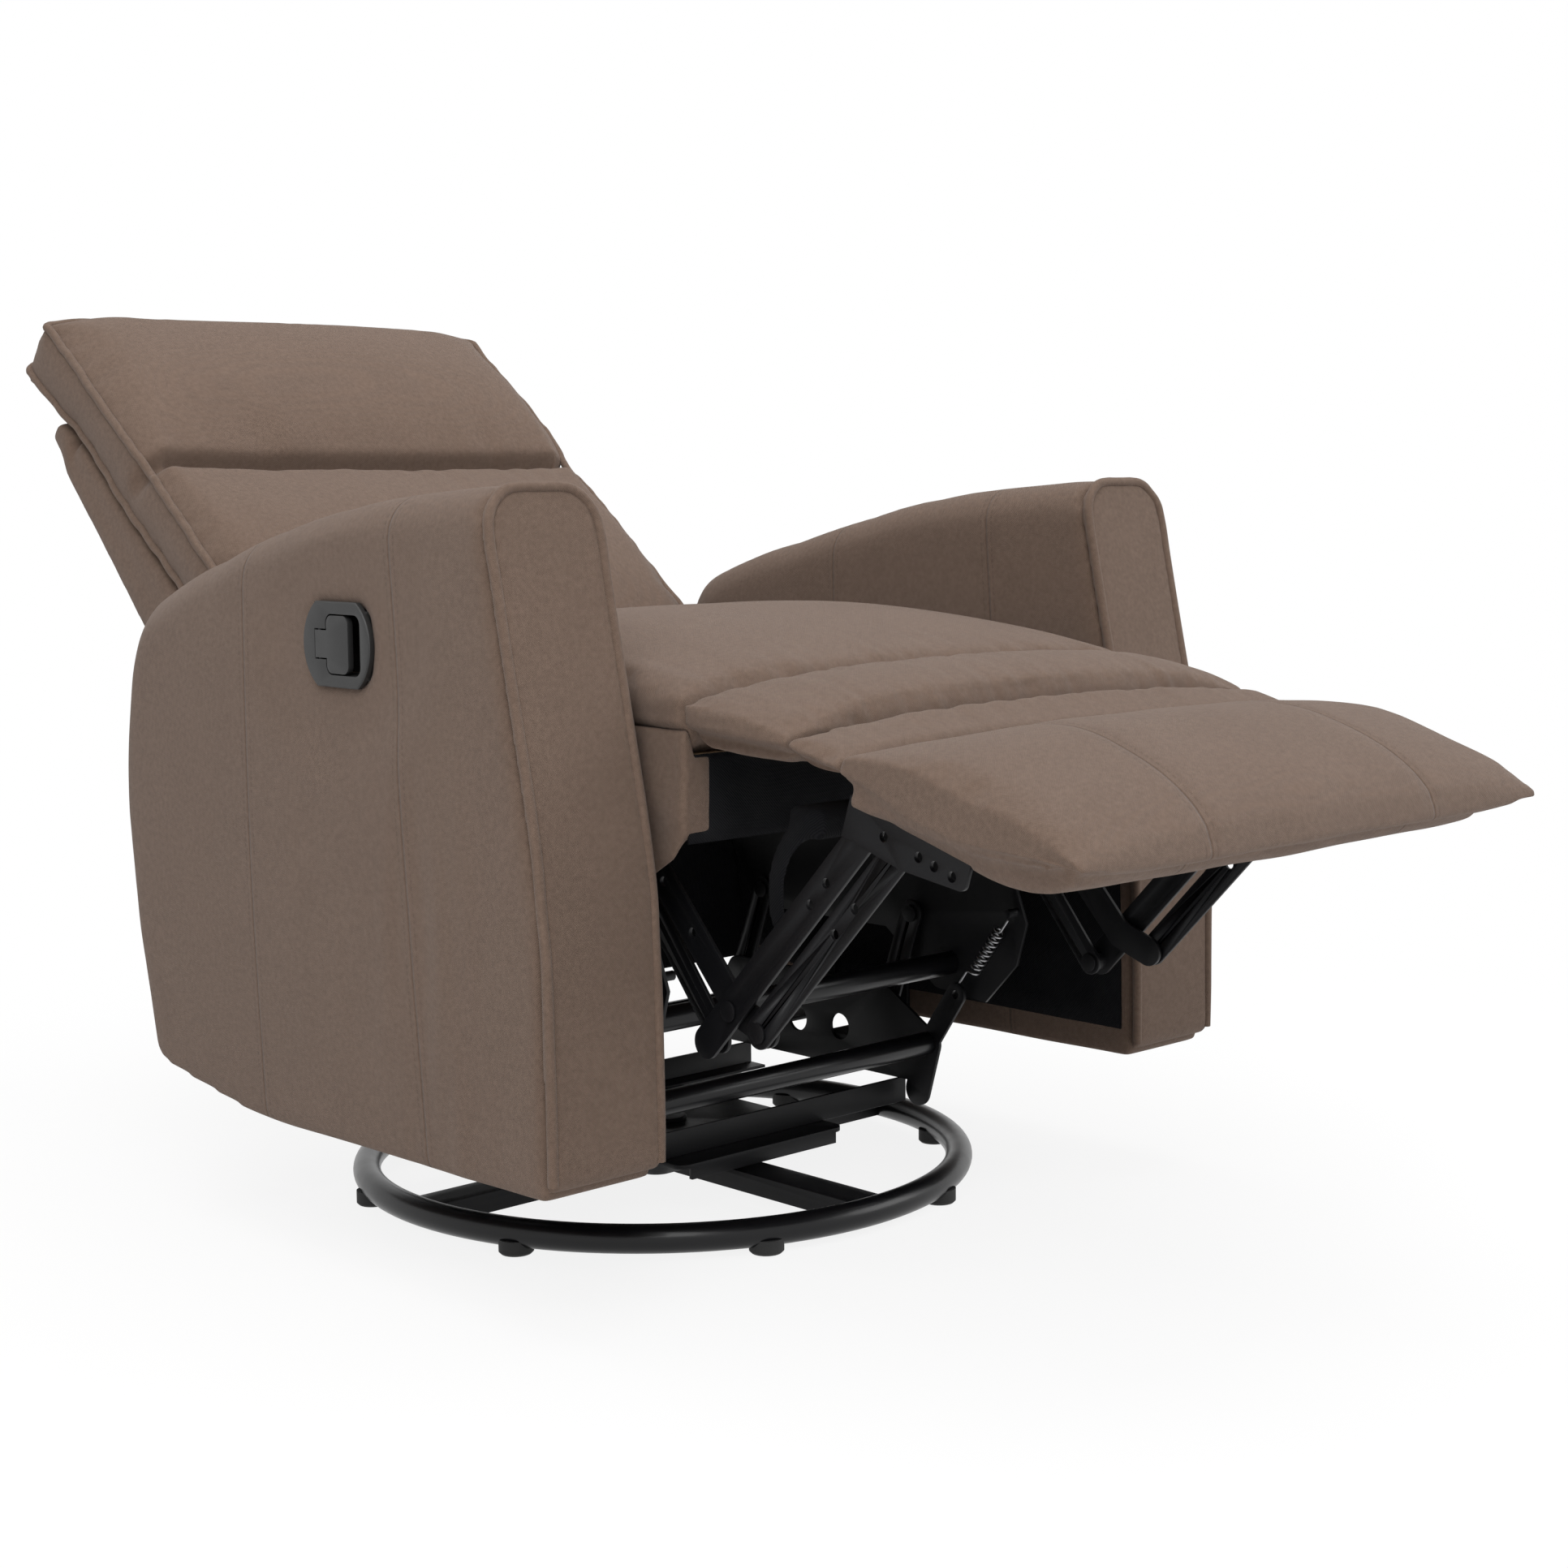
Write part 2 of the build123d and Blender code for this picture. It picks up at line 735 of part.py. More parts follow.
def chaise_outline(crown):
    drop = chaise_draw * (1 - crown)
    back_low = (chaise_hinge[0], chaise_hinge[1] + drop)
    back_high = (chaise_hinge[0], chaise_top_rear - drop)
    front_high = (chaise_top_front[0], chaise_top_front[1] - drop)
    front_low = (chaise_low_front[0], chaise_low_front[1] + drop)
    return [
        (back_low, back_high),
        bowed(front_high, back_high, chaise_rise * (0.4 + 0.6 * crown))[::-1],
        (front_high, front_low),
        (front_low, back_low),
    ]


with BuildPart() as chaise_pad:
    pillow(chaise_half, chaise_outline)
save(chaise_pad, "chaise_pad")


def bridge_outline(crown):
    drop = chaise_draw * (1 - crown)
    back_low = (chaise_low_front[0] - 2 * bridge_gap, chaise_low_front[1] + drop)
    back_high = (chaise_top_front[0] - bridge_gap, chaise_top_front[1] - drop)
    front_high = on_foot(-bridge_gap, -drop / 2)
    front_low = on_foot(-bridge_gap, -foot_under + drop / 2)
    return [(back_low, back_high), (back_high, front_high), (front_high, front_low), (front_low, back_low)]


with BuildPart() as chaise_bridge:
    pillow(chaise_half, bridge_outline)
save(chaise_bridge, "chaise_bridge")


def footrest_outline(crown):
    rise = foot_crown - foot_draw * (1 - crown)
    rear_low = on_foot(0, -foot_under)
    rear_high = on_foot(0, 0)
    nose_high = on_foot(foot_length, 0)
    nose_low = on_foot(foot_length, -foot_nose)
    under = on_foot(board_end, -foot_under)
    return [
        (rear_low, rear_high),
        bowed(nose_high, rear_high, rise)[::-1],
        (nose_high, nose_low),
        (nose_low, under),
        (under, rear_low),
    ]


with BuildPart() as footrest_pad:
    pillow(foot_half, footrest_outline)
save(footrest_pad, "footrest_pad")

with BuildPart() as footrest_board:
    with BuildSketch(Plane.YZ):
        with BuildLine():
            high = -foot_under - soft_gap
            low = high - board_thick
            Polyline(
                on_foot(board_start, high),
                on_foot(board_end, high),
                on_foot(board_end, low),
                on_foot(board_start, low),
                close=True,
            )
        make_face()
    extrude(amount=foot_half - board_inset, both=True)
save(footrest_board, "footrest_board")

with BuildPart() as chaise_slat:
    with BuildSketch(Plane.YZ):
        with Locations(slat_centre):
            RectangleRounded(slat_depth, slat_thick, slat_thick / 3)
    extrude(amount=layer(lift_layer) - rivet_head, both=True)
    for side in (-1, 1):
        with BuildSketch(Plane.YZ.offset(side * layer(lift_layer))):
            with BuildLine():
                ThreePointArc(
                    along(knee, foot_pivot, strap_foot),
                    (slat_centre[0] + strap_bow, slat_centre[1] - strap_drop),
                    (slat_centre[0] - strap_end, slat_centre[1]),
                )
            trace(line_width=strap_width)
        extrude(amount=-side * (plate - side_play))
save(chaise_slat, "chaise_slat")

# Back


def back_outline(crown):
    rise = back_crown * (0.35 + 0.65 * crown)
    rear_low = on_back(back_bottom, pad_thick)
    front_low = on_back(back_bottom, tuck_depth / 2)
    tuck = on_back(back_tuck, tuck_depth * (0.5 + 0.5 * crown))
    front_high = on_back(back_top, tuck_depth / 2)
    rear_high = on_back(back_top, pad_thick)
    return [
        (rear_low, front_low),
        bowed(front_low, tuck, rise),
        bowed(tuck, front_high, rise),
        bowed(front_high, rear_high, 4),
        (rear_high, rear_low),
    ]


with BuildPart() as back_cushion:
    pillow(back_half, back_outline)
save(back_cushion, "back_cushion")

frame_rear_t = pad_thick + soft_gap + stile_thick
frame_high = back_top - shell_drop - stile_thick

with BuildPart() as back_frame:
    for side in (-1, 1):
        with BuildSketch(Plane.YZ.offset(side * (layer(guide_layer) + plate))):
            with BuildLine():
                Polyline(
                    on_back(back_bottom, pad_thick + soft_gap),
                    on_back(frame_high, pad_thick + soft_gap),
                    on_back(frame_high, frame_rear_t),
                    on_back(back_bottom, frame_rear_t),
                    close=True,
                )
            make_face()
        extrude(amount=side * stile_width)
    for s, reach in (
        (frame_high - rail_height, layer(guide_layer) + plate),
        (back_bottom + rail_height, layer(guide_layer)),
    ):
        with BuildSketch(Plane.YZ):
            with BuildLine():
                Polyline(
                    on_back(s, pad_thick + soft_gap),
                    on_back(s + rail_height, pad_thick + soft_gap),
                    on_back(s + rail_height, frame_rear_t),
                    on_back(s, frame_rear_t),
                    close=True,
                )
            make_face()
        extrude(amount=reach, both=True)
save(back_frame, "back_frame")


def shell_outline(crown):
    near = frame_rear_t + soft_gap
    far = near + shell_thick - shell_draw * (1 - crown)
    top = back_top - shell_drop
    corners = [on_back(back_bottom, near), on_back(top, near), on_back(top, far), on_back(back_bottom, far)]
    return [
        (corners[0], corners[1]),
        (corners[1], corners[2]),
        bowed(corners[2], corners[3], shell_bow * crown + 1),
        (corners[3], corners[0]),
    ]


with BuildPart() as back_shell:
    pillow(back_half, shell_outline)
save(back_shell, "back_shell")

for side, name in ((-1, "right"), (1, "left")):
    with BuildPart() as back_bracket:
        with BuildSketch(Plane.YZ.offset(side * layer(guide_layer))):
            bar(back_pivot, on_back(bracket_reach, pad_thick + stile_thick / 2), link_width)
            bore(back_pivot, pin_hole)
            for s in (0, 50, 100, 150):
                bore(on_back(s, pad_thick + stile_thick / 2), pin_radius - 1)
        extrude(amount=side * plate)
    save(back_bracket, f"back_bracket_{name}")

# Arms

arm_knee = (arm_front_foot + arm_bend[0], arm_bottom + arm_bend[1])
arm_corners = [
    ((arm_front_foot, arm_bottom), 14),
    (arm_knee, 500),
    ((arm_front_top, arm_top), 0),
    (arm_shoulder, 560),
    (arm_rear_top, 80),
    (arm_rear, 300),
    (arm_rear_foot, 0),
    (arm_sole, 400),
]
face_region = [
    (2 * arm_front_foot, 0),
    (arm_front_foot + arm_face, 0),
    (arm_front_foot + arm_face, arm_bottom),
    (arm_knee[0] + arm_face, arm_knee[1]),
    (arm_front_top + arm_face, arm_top),
    (arm_front_top + arm_face, 2 * arm_top),
    (2 * arm_front_foot, 2 * arm_top),
]
lever_x = -arm_outer

for side, name in ((-1, "right"), (1, "left")):
    for piece, mode in (("arm", Mode.SUBTRACT), ("arm_front", Mode.INTERSECT)):
        with BuildPart() as arm:
            with BuildSketch(Plane.YZ.offset(side * arm_inner)) as profile:
                with BuildLine():
                    Polyline(*[corner for corner, radius in arm_corners], close=True)
                make_face()
                for corner, radius in arm_corners:
                    if radius:
                        fillet(profile.vertices().sort_by_distance((*corner, 0))[0], radius)
            extrude(amount=side * arm_width)
            rims = arm.faces().filter_by(Plane.YZ).edges()
            upper = rims.filter_by(lambda edge: (edge @ 0.5).Z > arm_soft_from)
            fillet(upper.filter_by(lambda edge: (edge @ 0.5).Y > arm_front_top), arm_round)
            with BuildSketch(Plane.YZ.offset(side * arm_inner)):
                with BuildLine():
                    Polyline(*face_region, close=True)
                make_face()
            extrude(amount=side * arm_width, mode=mode)
            if side < 0 and piece == "arm":
                with Locations((lever_x + (cup_depth + soft_gap) / 2, *lever_centre)):
                    Box(
                        cup_depth + soft_gap,
                        cup_length + 2 * soft_gap,
                        cup_height + 2 * soft_gap,
                        mode=Mode.SUBTRACT,
                    )
        save(arm, f"{piece}_{name}")

    with BuildPart() as arm_lining:
        with BuildSketch(Plane.YZ.offset(side * arm_inner)):
            with BuildLine():
                Polyline(
                    (arm_front_foot + lining_inset, arm_bottom + lining_inset),
                    (arm_knee[0] + lining_inset, arm_lining_top),
                    (arm_rear[0] - lining_inset, arm_lining_top),
                    (arm_rear_foot[0] - lining_inset, arm_rear_foot[1] + lining_inset),
                    (arm_rear_foot[0] / 2, arm_bottom + lining_inset),
                    close=True,
                )
            make_face()
        extrude(amount=-side * lining_thick)
    save(arm_lining, f"arm_lining_{name}")

rear_slope = (arm_rear[0] - arm_rear_foot[0]) / (arm_rear[1] - arm_rear_foot[1])
rear_face = arm_rear_foot[0] - rear_panel_inset
rear_lean = rear_slope * (rear_panel_top - arm_rear_foot[1])

with BuildPart() as rear_panel:
    with BuildSketch(Plane.YZ):
        with BuildLine():
            Polyline(
                (rear_face, arm_rear_foot[1]),
                (rear_face + rear_lean, rear_panel_top),
                (rear_face + rear_lean - rear_panel_thick, rear_panel_top),
                (rear_face - rear_panel_thick, arm_rear_foot[1]),
                close=True,
            )
        make_face()
    extrude(amount=arm_inner - lining_thick, both=True)
save(rear_panel, "rear_panel")

# Release lever

bezel_y, bezel_z = lever_centre
hole_front = bezel_y - cup_length / 2 + cup_wall
hole_rear = hole_front + paddle_length + finger_room
stem_rear = hole_rear + stem_length
pin_y = stem_rear - paddle_gap - 4
pin_x = lever_x - bezel_proud / 2

with BuildPart() as lever_housing:
    with BuildSketch(Plane.YZ.offset(lever_x)):
        with BuildLine():
            half_top = bezel_length * 0.3
            half_height = bezel_height / 2
            top_front = (bezel_y - half_top, bezel_z + half_height)
            top_rear = (bezel_y + half_top, bezel_z + half_height)
            low_rear = (bezel_y + half_top, bezel_z - half_height)
            low_front = (bezel_y - half_top, bezel_z - half_height)
            Line(top_front, top_rear)
            ThreePointArc(top_rear, (bezel_y + bezel_length / 2, bezel_z), low_rear)
            Line(low_rear, low_front)
            ThreePointArc(low_front, (bezel_y - bezel_length / 2, bezel_z), top_front)
        make_face()
    extrude(amount=-bezel_proud)
    chamfer(lever_housing.faces().sort_by(Axis.X)[0].edges(), 1)
    with Locations((lever_x + cup_depth / 2, *lever_centre)):
        Box(cup_depth, cup_length, cup_height)
    with Locations((lever_x + (cup_depth - cup_wall) / 2, *lever_centre)):
        Box(cup_depth - cup_wall, cup_length - 2 * cup_wall, cup_height - 2 * cup_wall, mode=Mode.SUBTRACT)
    with BuildSketch(Plane.YZ.offset(lever_x)):
        with Locations(((hole_front + hole_rear) / 2, bezel_z)):
            RectangleRounded(hole_rear - hole_front, paddle_height + 2 * paddle_gap, 8)
        with Locations(((hole_rear - 10 + stem_rear) / 2, bezel_z)):
            Rectangle(stem_rear - hole_rear + 10, stem_height + 2 * paddle_gap)
    extrude(amount=-2 * bezel_proud, mode=Mode.SUBTRACT)
    with Locations((pin_x, pin_y, bezel_z)):
        Cylinder(lever_pin_radius + running_fit, stem_height + 14, mode=Mode.SUBTRACT)
save(lever_housing, "lever_housing")

with BuildPart() as lever_paddle:
    with BuildSketch(Plane.YZ.offset(lever_x)):
        with Locations((hole_rear - paddle_gap - paddle_length / 2, bezel_z)):
            RectangleRounded(paddle_length, paddle_height, 7)
        with Locations(((hole_rear - 10 + stem_rear - paddle_gap) / 2, bezel_z)):
            Rectangle(stem_rear - paddle_gap - hole_rear + 10, stem_height)
    extrude(amount=-bezel_proud)
    with Locations((pin_x, pin_y, bezel_z)):
        Cylinder(lever_pin_radius, stem_height + 12)
save(lever_paddle, "lever_paddle")
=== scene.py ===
import json
import math

import bpy
import numpy as np
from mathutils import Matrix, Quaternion, Vector, noise


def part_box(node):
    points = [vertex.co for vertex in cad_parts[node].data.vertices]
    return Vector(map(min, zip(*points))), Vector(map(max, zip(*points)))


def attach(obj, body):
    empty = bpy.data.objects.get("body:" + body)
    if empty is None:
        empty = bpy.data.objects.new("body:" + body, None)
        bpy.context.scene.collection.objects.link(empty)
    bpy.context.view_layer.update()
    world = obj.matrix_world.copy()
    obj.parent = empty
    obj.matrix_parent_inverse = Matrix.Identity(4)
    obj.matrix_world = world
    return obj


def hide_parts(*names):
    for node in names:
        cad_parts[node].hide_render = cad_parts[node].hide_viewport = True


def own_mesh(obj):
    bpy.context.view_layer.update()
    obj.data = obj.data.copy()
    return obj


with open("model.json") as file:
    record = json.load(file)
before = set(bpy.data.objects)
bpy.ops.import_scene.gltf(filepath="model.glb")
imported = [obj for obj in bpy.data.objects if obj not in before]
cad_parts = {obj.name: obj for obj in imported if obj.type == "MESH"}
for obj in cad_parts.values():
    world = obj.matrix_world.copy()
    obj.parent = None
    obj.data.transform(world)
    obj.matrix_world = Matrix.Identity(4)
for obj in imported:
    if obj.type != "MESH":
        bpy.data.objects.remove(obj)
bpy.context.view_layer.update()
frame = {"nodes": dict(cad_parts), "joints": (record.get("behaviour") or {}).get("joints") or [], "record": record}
nodes = frame["nodes"]
axisY = next(joint for joint in frame["joints"] if joint["name"] == "swivel")["pos_m"][1]
sides = ((-1, "right"), (1, "left"))
print("frame loaded:", len(nodes), "nodes")


class Wire:
    def __init__(self, look, socket):
        self.look = look
        self.socket = socket

    def sum(self, operation, other=None, flip=False):
        pair = [self] if other is None else [other, self] if flip else [self, other]
        return self.look.add("ShaderNodeMath", {"operation": operation}, pair)

    def __add__(self, other):
        return self.sum("ADD", other)

    def __radd__(self, other):
        return self.sum("ADD", other)

    def __sub__(self, other):
        return self.sum("SUBTRACT", other)

    def __rsub__(self, other):
        return self.sum("SUBTRACT", other, True)

    def __mul__(self, other):
        return self.sum("MULTIPLY", other)

    def __truediv__(self, other):
        return self.sum("DIVIDE", other)

    def __abs__(self):
        return self.sum("ABSOLUTE")

    def sine(self):
        return self.sum("SINE")

    def fraction(self):
        return self.sum("FRACT")

    def under(self, edge):
        return self.sum("LESS_THAN", edge)

    def most(self, other):
        return self.sum("MAXIMUM", other)

    def root(self):
        return self.sum("SQRT")

    def fade(self, near, far):
        settings = {"interpolation_type": "SMOOTHSTEP"}
        return self.look.add("ShaderNodeMapRange", settings, [self, near, far, 1.0, 0.0])


class Look:
    def __init__(self, name):
        self.material = bpy.data.materials.new(name)
        self.material.use_nodes = True
        self.tree = self.material.node_tree
        self.surface = self.tree.nodes["Principled BSDF"]

    def add(self, kind, settings=None, values=(), out=0):
        node = self.tree.nodes.new(kind)
        for key, value in (settings or {}).items():
            setattr(node, key, value)
        pairs = values.items() if isinstance(values, dict) else enumerate(values)
        for key, value in pairs:
            self.feed(node.inputs[key], value)
        return Wire(self, node.outputs[out])

    def feed(self, socket, value):
        if isinstance(value, Wire):
            self.tree.links.new(value.socket, socket)
        else:
            socket.default_value = value

    def set(self, **values):
        for key, value in values.items():
            self.feed(self.surface.inputs[key.replace("_", " ")], value)

    def coords(self):
        return self.add("ShaderNodeTexCoord", out="Object")

    def split(self, vector):
        return [self.add("ShaderNodeSeparateXYZ", None, [vector], i) for i in range(3)]

    def cloud(self, coords, scale, detail):
        return self.add("ShaderNodeTexNoise", None, {"Vector": coords, "Scale": scale, "Detail": detail})

    def bump(self, height, strength):
        return self.add("ShaderNodeBump", None, {"Height": height, "Strength": strength, "Distance": 1.0})

    def blend(self, factor, first, second):
        values = {"Factor": factor, 6: first, 7: second}
        return self.add("ShaderNodeMix", {"data_type": "RGBA"}, values, 2)


fabricTone = {
    "dark": (0.090, 0.059, 0.043, 1),
    "light": (0.170, 0.116, 0.087, 1),
    "threadPitch": 0.0017,
    "weaveDepth": 0.00035,
    "roughness": 0.92,
    "seamWidth": 0.0022,
    "seamDepth": 0.0020,
    "stitchAside": 0.0065,
    "stitchPitch": 0.0052,
    "stitchWidth": 0.0009,
    "stitchShare": 0.62,
    "stitchDepth": 0.0006,
    # painted shade: how much darker the seam grooves and stitch dents are coloured
    "seamShade": 0.40,
    "stitchShade": 0.25,
    "mottle": (240.0, 4.0),
    "mottleTone": 0.9,
    "mottleDepth": 0.0004,
    "slub": (18.0, 3.0),
    "slubTone": 0.2,
    "weaveTone": 0.16,
    "bump": 0.6,
    "sheen": 0.08,
    "sheenRoughness": 0.5,
    "specular": 0.25,
}


def fabricLook(name, seams=None):
    look = Look(name)
    coords = look.coords()
    x, y, z = look.split(coords)
    turn = 2 * math.pi / fabricTone["threadPitch"]
    waves = [(place * turn).sine() for place in (x, y, z)]
    facing = look.split(look.add("ShaderNodeNewGeometry", out="Normal"))
    weights = [way * way for way in facing]
    weave = (
        waves[1] * waves[2] * weights[0]
        + waves[0] * waves[2] * weights[1]
        + waves[0] * waves[1] * weights[2]
    )
    mottle = look.cloud(coords, *fabricTone["mottle"])
    slub = look.cloud(coords, *fabricTone["slub"])
    tone = 0.5 + (mottle - 0.5) * fabricTone["mottleTone"] + (slub - 0.5) * fabricTone["slubTone"]
    tone = tone + weave * fabricTone["weaveTone"]
    height = weave * fabricTone["weaveDepth"] + mottle * fabricTone["mottleDepth"]
    seam = None
    for away, along in seams(x, y, z) if seams else []:
        groove = away.fade(0.0, fabricTone["seamWidth"])
        aside = abs(away - fabricTone["stitchAside"]).under(fabricTone["stitchWidth"])
        stitch = aside * (along / fabricTone["stitchPitch"]).fraction().under(fabricTone["stitchShare"])
        height = height - groove * fabricTone["seamDepth"] - stitch * fabricTone["stitchDepth"]
        # seam grooves and stitch dents are coloured darker as well as sunk by the bump: painted shade in the
        # recesses
        grooveShade = groove * fabricTone["seamShade"] + stitch * fabricTone["stitchShade"]
        seam = grooveShade if seam is None else seam + grooveShade
    # take the painted seam and stitch shade off the fabric tone
    if seam is not None:
        tone = tone - seam
    colour = look.blend(tone, fabricTone["dark"], fabricTone["light"])
    bump = look.bump(height, fabricTone["bump"])
    look.set(Base_Color=colour, Normal=bump, Roughness=fabricTone["roughness"])
    look.set(Sheen_Weight=fabricTone["sheen"], Sheen_Roughness=fabricTone["sheenRoughness"])
    look.set(Specular_IOR_Level=fabricTone["specular"])
    return look.material


twillTone = {
    "dark": (0.003, 0.003, 0.004, 1),
    "light": (0.012, 0.012, 0.013, 1),
    "pitch": 0.0024,
    "ribTone": 0.25,
    "ribDepth": 0.0004,
    "cloud": (30.0, 3.0),
    "bump": 0.5,
    "roughness": 0.9,
    "specular": 0.08,
}


def twillLook():
    look = Look("blackTwill")
    coords = look.coords()
    x, y, z = look.split(coords)
    rib = ((y + z + x) * (2 * math.pi / twillTone["pitch"])).sine()
    cloud = look.cloud(coords, *twillTone["cloud"])
    tone = 0.5 + rib * twillTone["ribTone"] + (cloud - 0.5)
    bump = look.bump(rib * twillTone["ribDepth"], twillTone["bump"])
    look.set(Base_Color=look.blend(tone, twillTone["dark"], twillTone["light"]), Normal=bump)
    look.set(Roughness=twillTone["roughness"], Specular_IOR_Level=twillTone["specular"])
    return look.material


plainTone = {"cloud": (60.0, 3.0), "cloudShare": 0.12, "grain": (1400.0, 2.0), "bump": 0.5}


def plainLook(name, colour, roughness, metal=0.0, grain=0.0, coat=0.0, shine=0.5):
    look = Look(name)
    coords = look.coords()
    cloud = look.cloud(coords, *plainTone["cloud"])
    look.set(Base_Color=(*colour, 1), Metallic=metal)
    look.set(Roughness=roughness + (cloud - 0.5) * plainTone["cloudShare"])
    look.set(Coat_Weight=coat, Specular_IOR_Level=shine)
    if grain:
        fine = look.cloud(coords, *plainTone["grain"])
        look.set(Normal=look.bump(fine * grain, plainTone["bump"]))
    return look.material


boardTone = {
    "dark": (0.16, 0.10, 0.055, 1),
    "light": (0.28, 0.19, 0.11, 1),
    "stretch": (4.0, 60.0, 60.0),
    "grain": (6.0, 5.0),
    "roughness": 0.7,
}


def boardLook():
    look = Look("bareBoard")
    settings = {"Vector": look.coords(), "Scale": boardTone["stretch"]}
    grain = look.cloud(look.add("ShaderNodeMapping", None, settings), *boardTone["grain"])
    look.set(Base_Color=look.blend(grain, boardTone["dark"], boardTone["light"]))
    look.set(Roughness=boardTone["roughness"])
    return look.material


# Each seam runs on a straight line, given by its start and its slope.
seamLines = {"armRear": (0.0512, 0.0242), "armFront": (-0.1862, 0.0683), "footrest": (0.0781, -0.08)}


def armSeams(x, y, z):
    lines = [seamLines[key] for key in ("armRear", "armFront")]
    return [(abs(y - (axisY + start + z * slope)), z) for start, slope in lines]


def footrestSeams(x, y, z):
    start, slope = seamLines["footrest"]
    return [(abs(abs(x) - (start + (y - axisY) * slope)), y)]


fabric = fabricLook("taupeWeave")
armFabric = fabricLook("taupeWeaveArm", armSeams)
footFabric = fabricLook("taupeWeaveFootrest", footrestSeams)
twill = twillLook()
blackMetal = plainLook("blackPowderCoat", (0.005, 0.005, 0.006), 0.44, 0.0, 0.0002, shine=0.22)
ringMetal = plainLook("blackGlossTube", (0.004, 0.004, 0.005), 0.3, 0.0, 0.0, 0.05, 0.3)
steelWire = plainLook("springWire", (0.36, 0.36, 0.37), 0.34, 1.0)
blackPlastic = plainLook("blackMoulding", (0.014, 0.014, 0.014), 0.5, 0.0, 0.0003)
rubber = plainLook("footRubber", (0.012, 0.012, 0.012), 0.75)
board = boardLook()
print("materials made")


softForm = {
    "weld": 0.00005,
    "smoothing": 0.5,
    "leastMove": 1e-9,
    "underFacing": -0.75,
    "pipeRound": 3,
    "pipeSteps": 6,
}


def only(piece):
    bpy.ops.object.select_all(action="DESELECT")
    piece.select_set(True)
    bpy.context.view_layer.objects.active = piece
    return piece


def dress(piece, material):
    piece.data.materials.clear()
    piece.data.materials.append(material)


def solidCopy(nodeName, name, *others, spread=1.0):
    piece = bpy.data.objects.new(name, nodes[nodeName].data.copy())
    bpy.context.scene.collection.objects.link(piece)
    for other in others:
        extra = bpy.data.objects.new(other, nodes[other].data.copy())
        bpy.context.scene.collection.objects.link(extra)
        only(extra)
        bpy.ops.transform.resize(value=(spread, 1, 1))
        bpy.ops.object.transform_apply(location=False, rotation=False, scale=True)
        only(piece)
        extra.select_set(True)
        bpy.ops.object.join()
    only(piece)
    bpy.ops.object.mode_set(mode="EDIT")
    bpy.ops.mesh.select_all(action="SELECT")
    bpy.ops.mesh.remove_doubles(threshold=softForm["weld"])
    bpy.ops.object.mode_set(mode="OBJECT")
    return piece


def applyNew(piece, kind, **settings):
    only(piece)
    modifier = piece.modifiers.new(kind.lower(), kind)
    for key, value in settings.items():
        setattr(modifier, key, value)
    bpy.ops.object.modifier_apply(modifier=modifier.name)


def soften(piece, turns):
    applyNew(piece, "SMOOTH", factor=softForm["smoothing"], iterations=turns)


def remake(piece, voxel, turns):
    applyNew(piece, "REMESH", mode="VOXEL", voxel_size=voxel)
    soften(piece, turns)


def readPoints(piece):
    points = np.empty(len(piece.data.vertices) * 3)
    piece.data.vertices.foreach_get("co", points)
    normals = np.empty(len(piece.data.vertices) * 3)
    piece.data.vertices.foreach_get("normal", normals)
    return points.reshape(-1, 3), normals.reshape(-1, 3)


def writePoints(piece, points):
    piece.data.vertices.foreach_set("co", points.ravel())
    piece.data.update()


def swell(piece, settings):
    applyNew(piece, "REMESH", mode="VOXEL", voxel_size=settings["voxel"])
    before = readPoints(piece)[0]
    only(piece)
    cloth = piece.modifiers.new("cloth", "CLOTH")
    cloth.settings.use_pressure = True
    cloth.settings.uniform_pressure_force = settings["pressure"]
    cloth.settings.effector_weights.gravity = 0
    for step in range(1, settings["steps"] + 1):
        bpy.context.scene.frame_set(step)
    bpy.ops.object.modifier_apply(modifier=cloth.name)
    bpy.context.scene.frame_set(1)
    moved = readPoints(piece)[0] - before
    length = np.linalg.norm(moved, axis=1, keepdims=True)
    moved *= np.minimum(1, settings["cap"] / np.maximum(length, softForm["leastMove"]))
    writePoints(piece, before + moved)
    soften(piece, settings["soften"])


def ripple(points, pitch, seed):
    steps = points / np.array(pitch)
    return np.array([noise.noise(Vector(step) + Vector((seed, seed, seed))) for step in steps])


def finishSoft(piece, material, body, nodeNames):
    applyNew(piece, "SUBSURF", levels=1, render_levels=1)
    only(piece)
    bpy.ops.object.shade_smooth()
    dress(piece, material)
    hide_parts(*nodeNames)
    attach(piece, body)
    print("soft piece:", piece.name, len(piece.data.polygons))


def darkUnder(piece, half, front):
    piece.data.materials.append(twill)
    for face in piece.data.polygons:
        under = face.normal.z < softForm["underFacing"]
        if under and abs(face.center.x) < half and face.center.y > front:
            face.material_index = 1


def hug(piece, points, lift):
    found = []
    for point in points:
        place, normal = piece.closest_point_on_mesh(Vector(point))[1:3]
        found.append(place + normal * lift)
    return found


def piping(name, points, radius, body):
    curve = bpy.data.curves.new(name, "CURVE")
    curve.dimensions = "3D"
    curve.bevel_depth = radius
    curve.bevel_resolution = softForm["pipeRound"]
    curve.use_fill_caps = True
    curve.resolution_u = softForm["pipeSteps"]
    spline = curve.splines.new("BEZIER")
    spline.bezier_points.add(len(points) - 1)
    for knot, point in zip(spline.bezier_points, points):
        knot.co = point
        knot.handle_left_type = knot.handle_right_type = "AUTO"
    piece = bpy.data.objects.new(name, curve)
    bpy.context.scene.collection.objects.link(piece)
    only(piece)
    bpy.ops.object.convert(target="MESH")
    piece = bpy.context.view_layer.objects.active
    bpy.ops.object.shade_smooth()
    dress(piece, fabric)
    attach(piece, body)
    return piece


def smooth(values, low, high):
    share = np.clip((values - low) / (high - low), 0, 1)
    return share * share * (3 - 2 * share)


def line(values, knots):
    return np.interp(values, [knot[0] for knot in knots], [knot[1] for knot in knots])


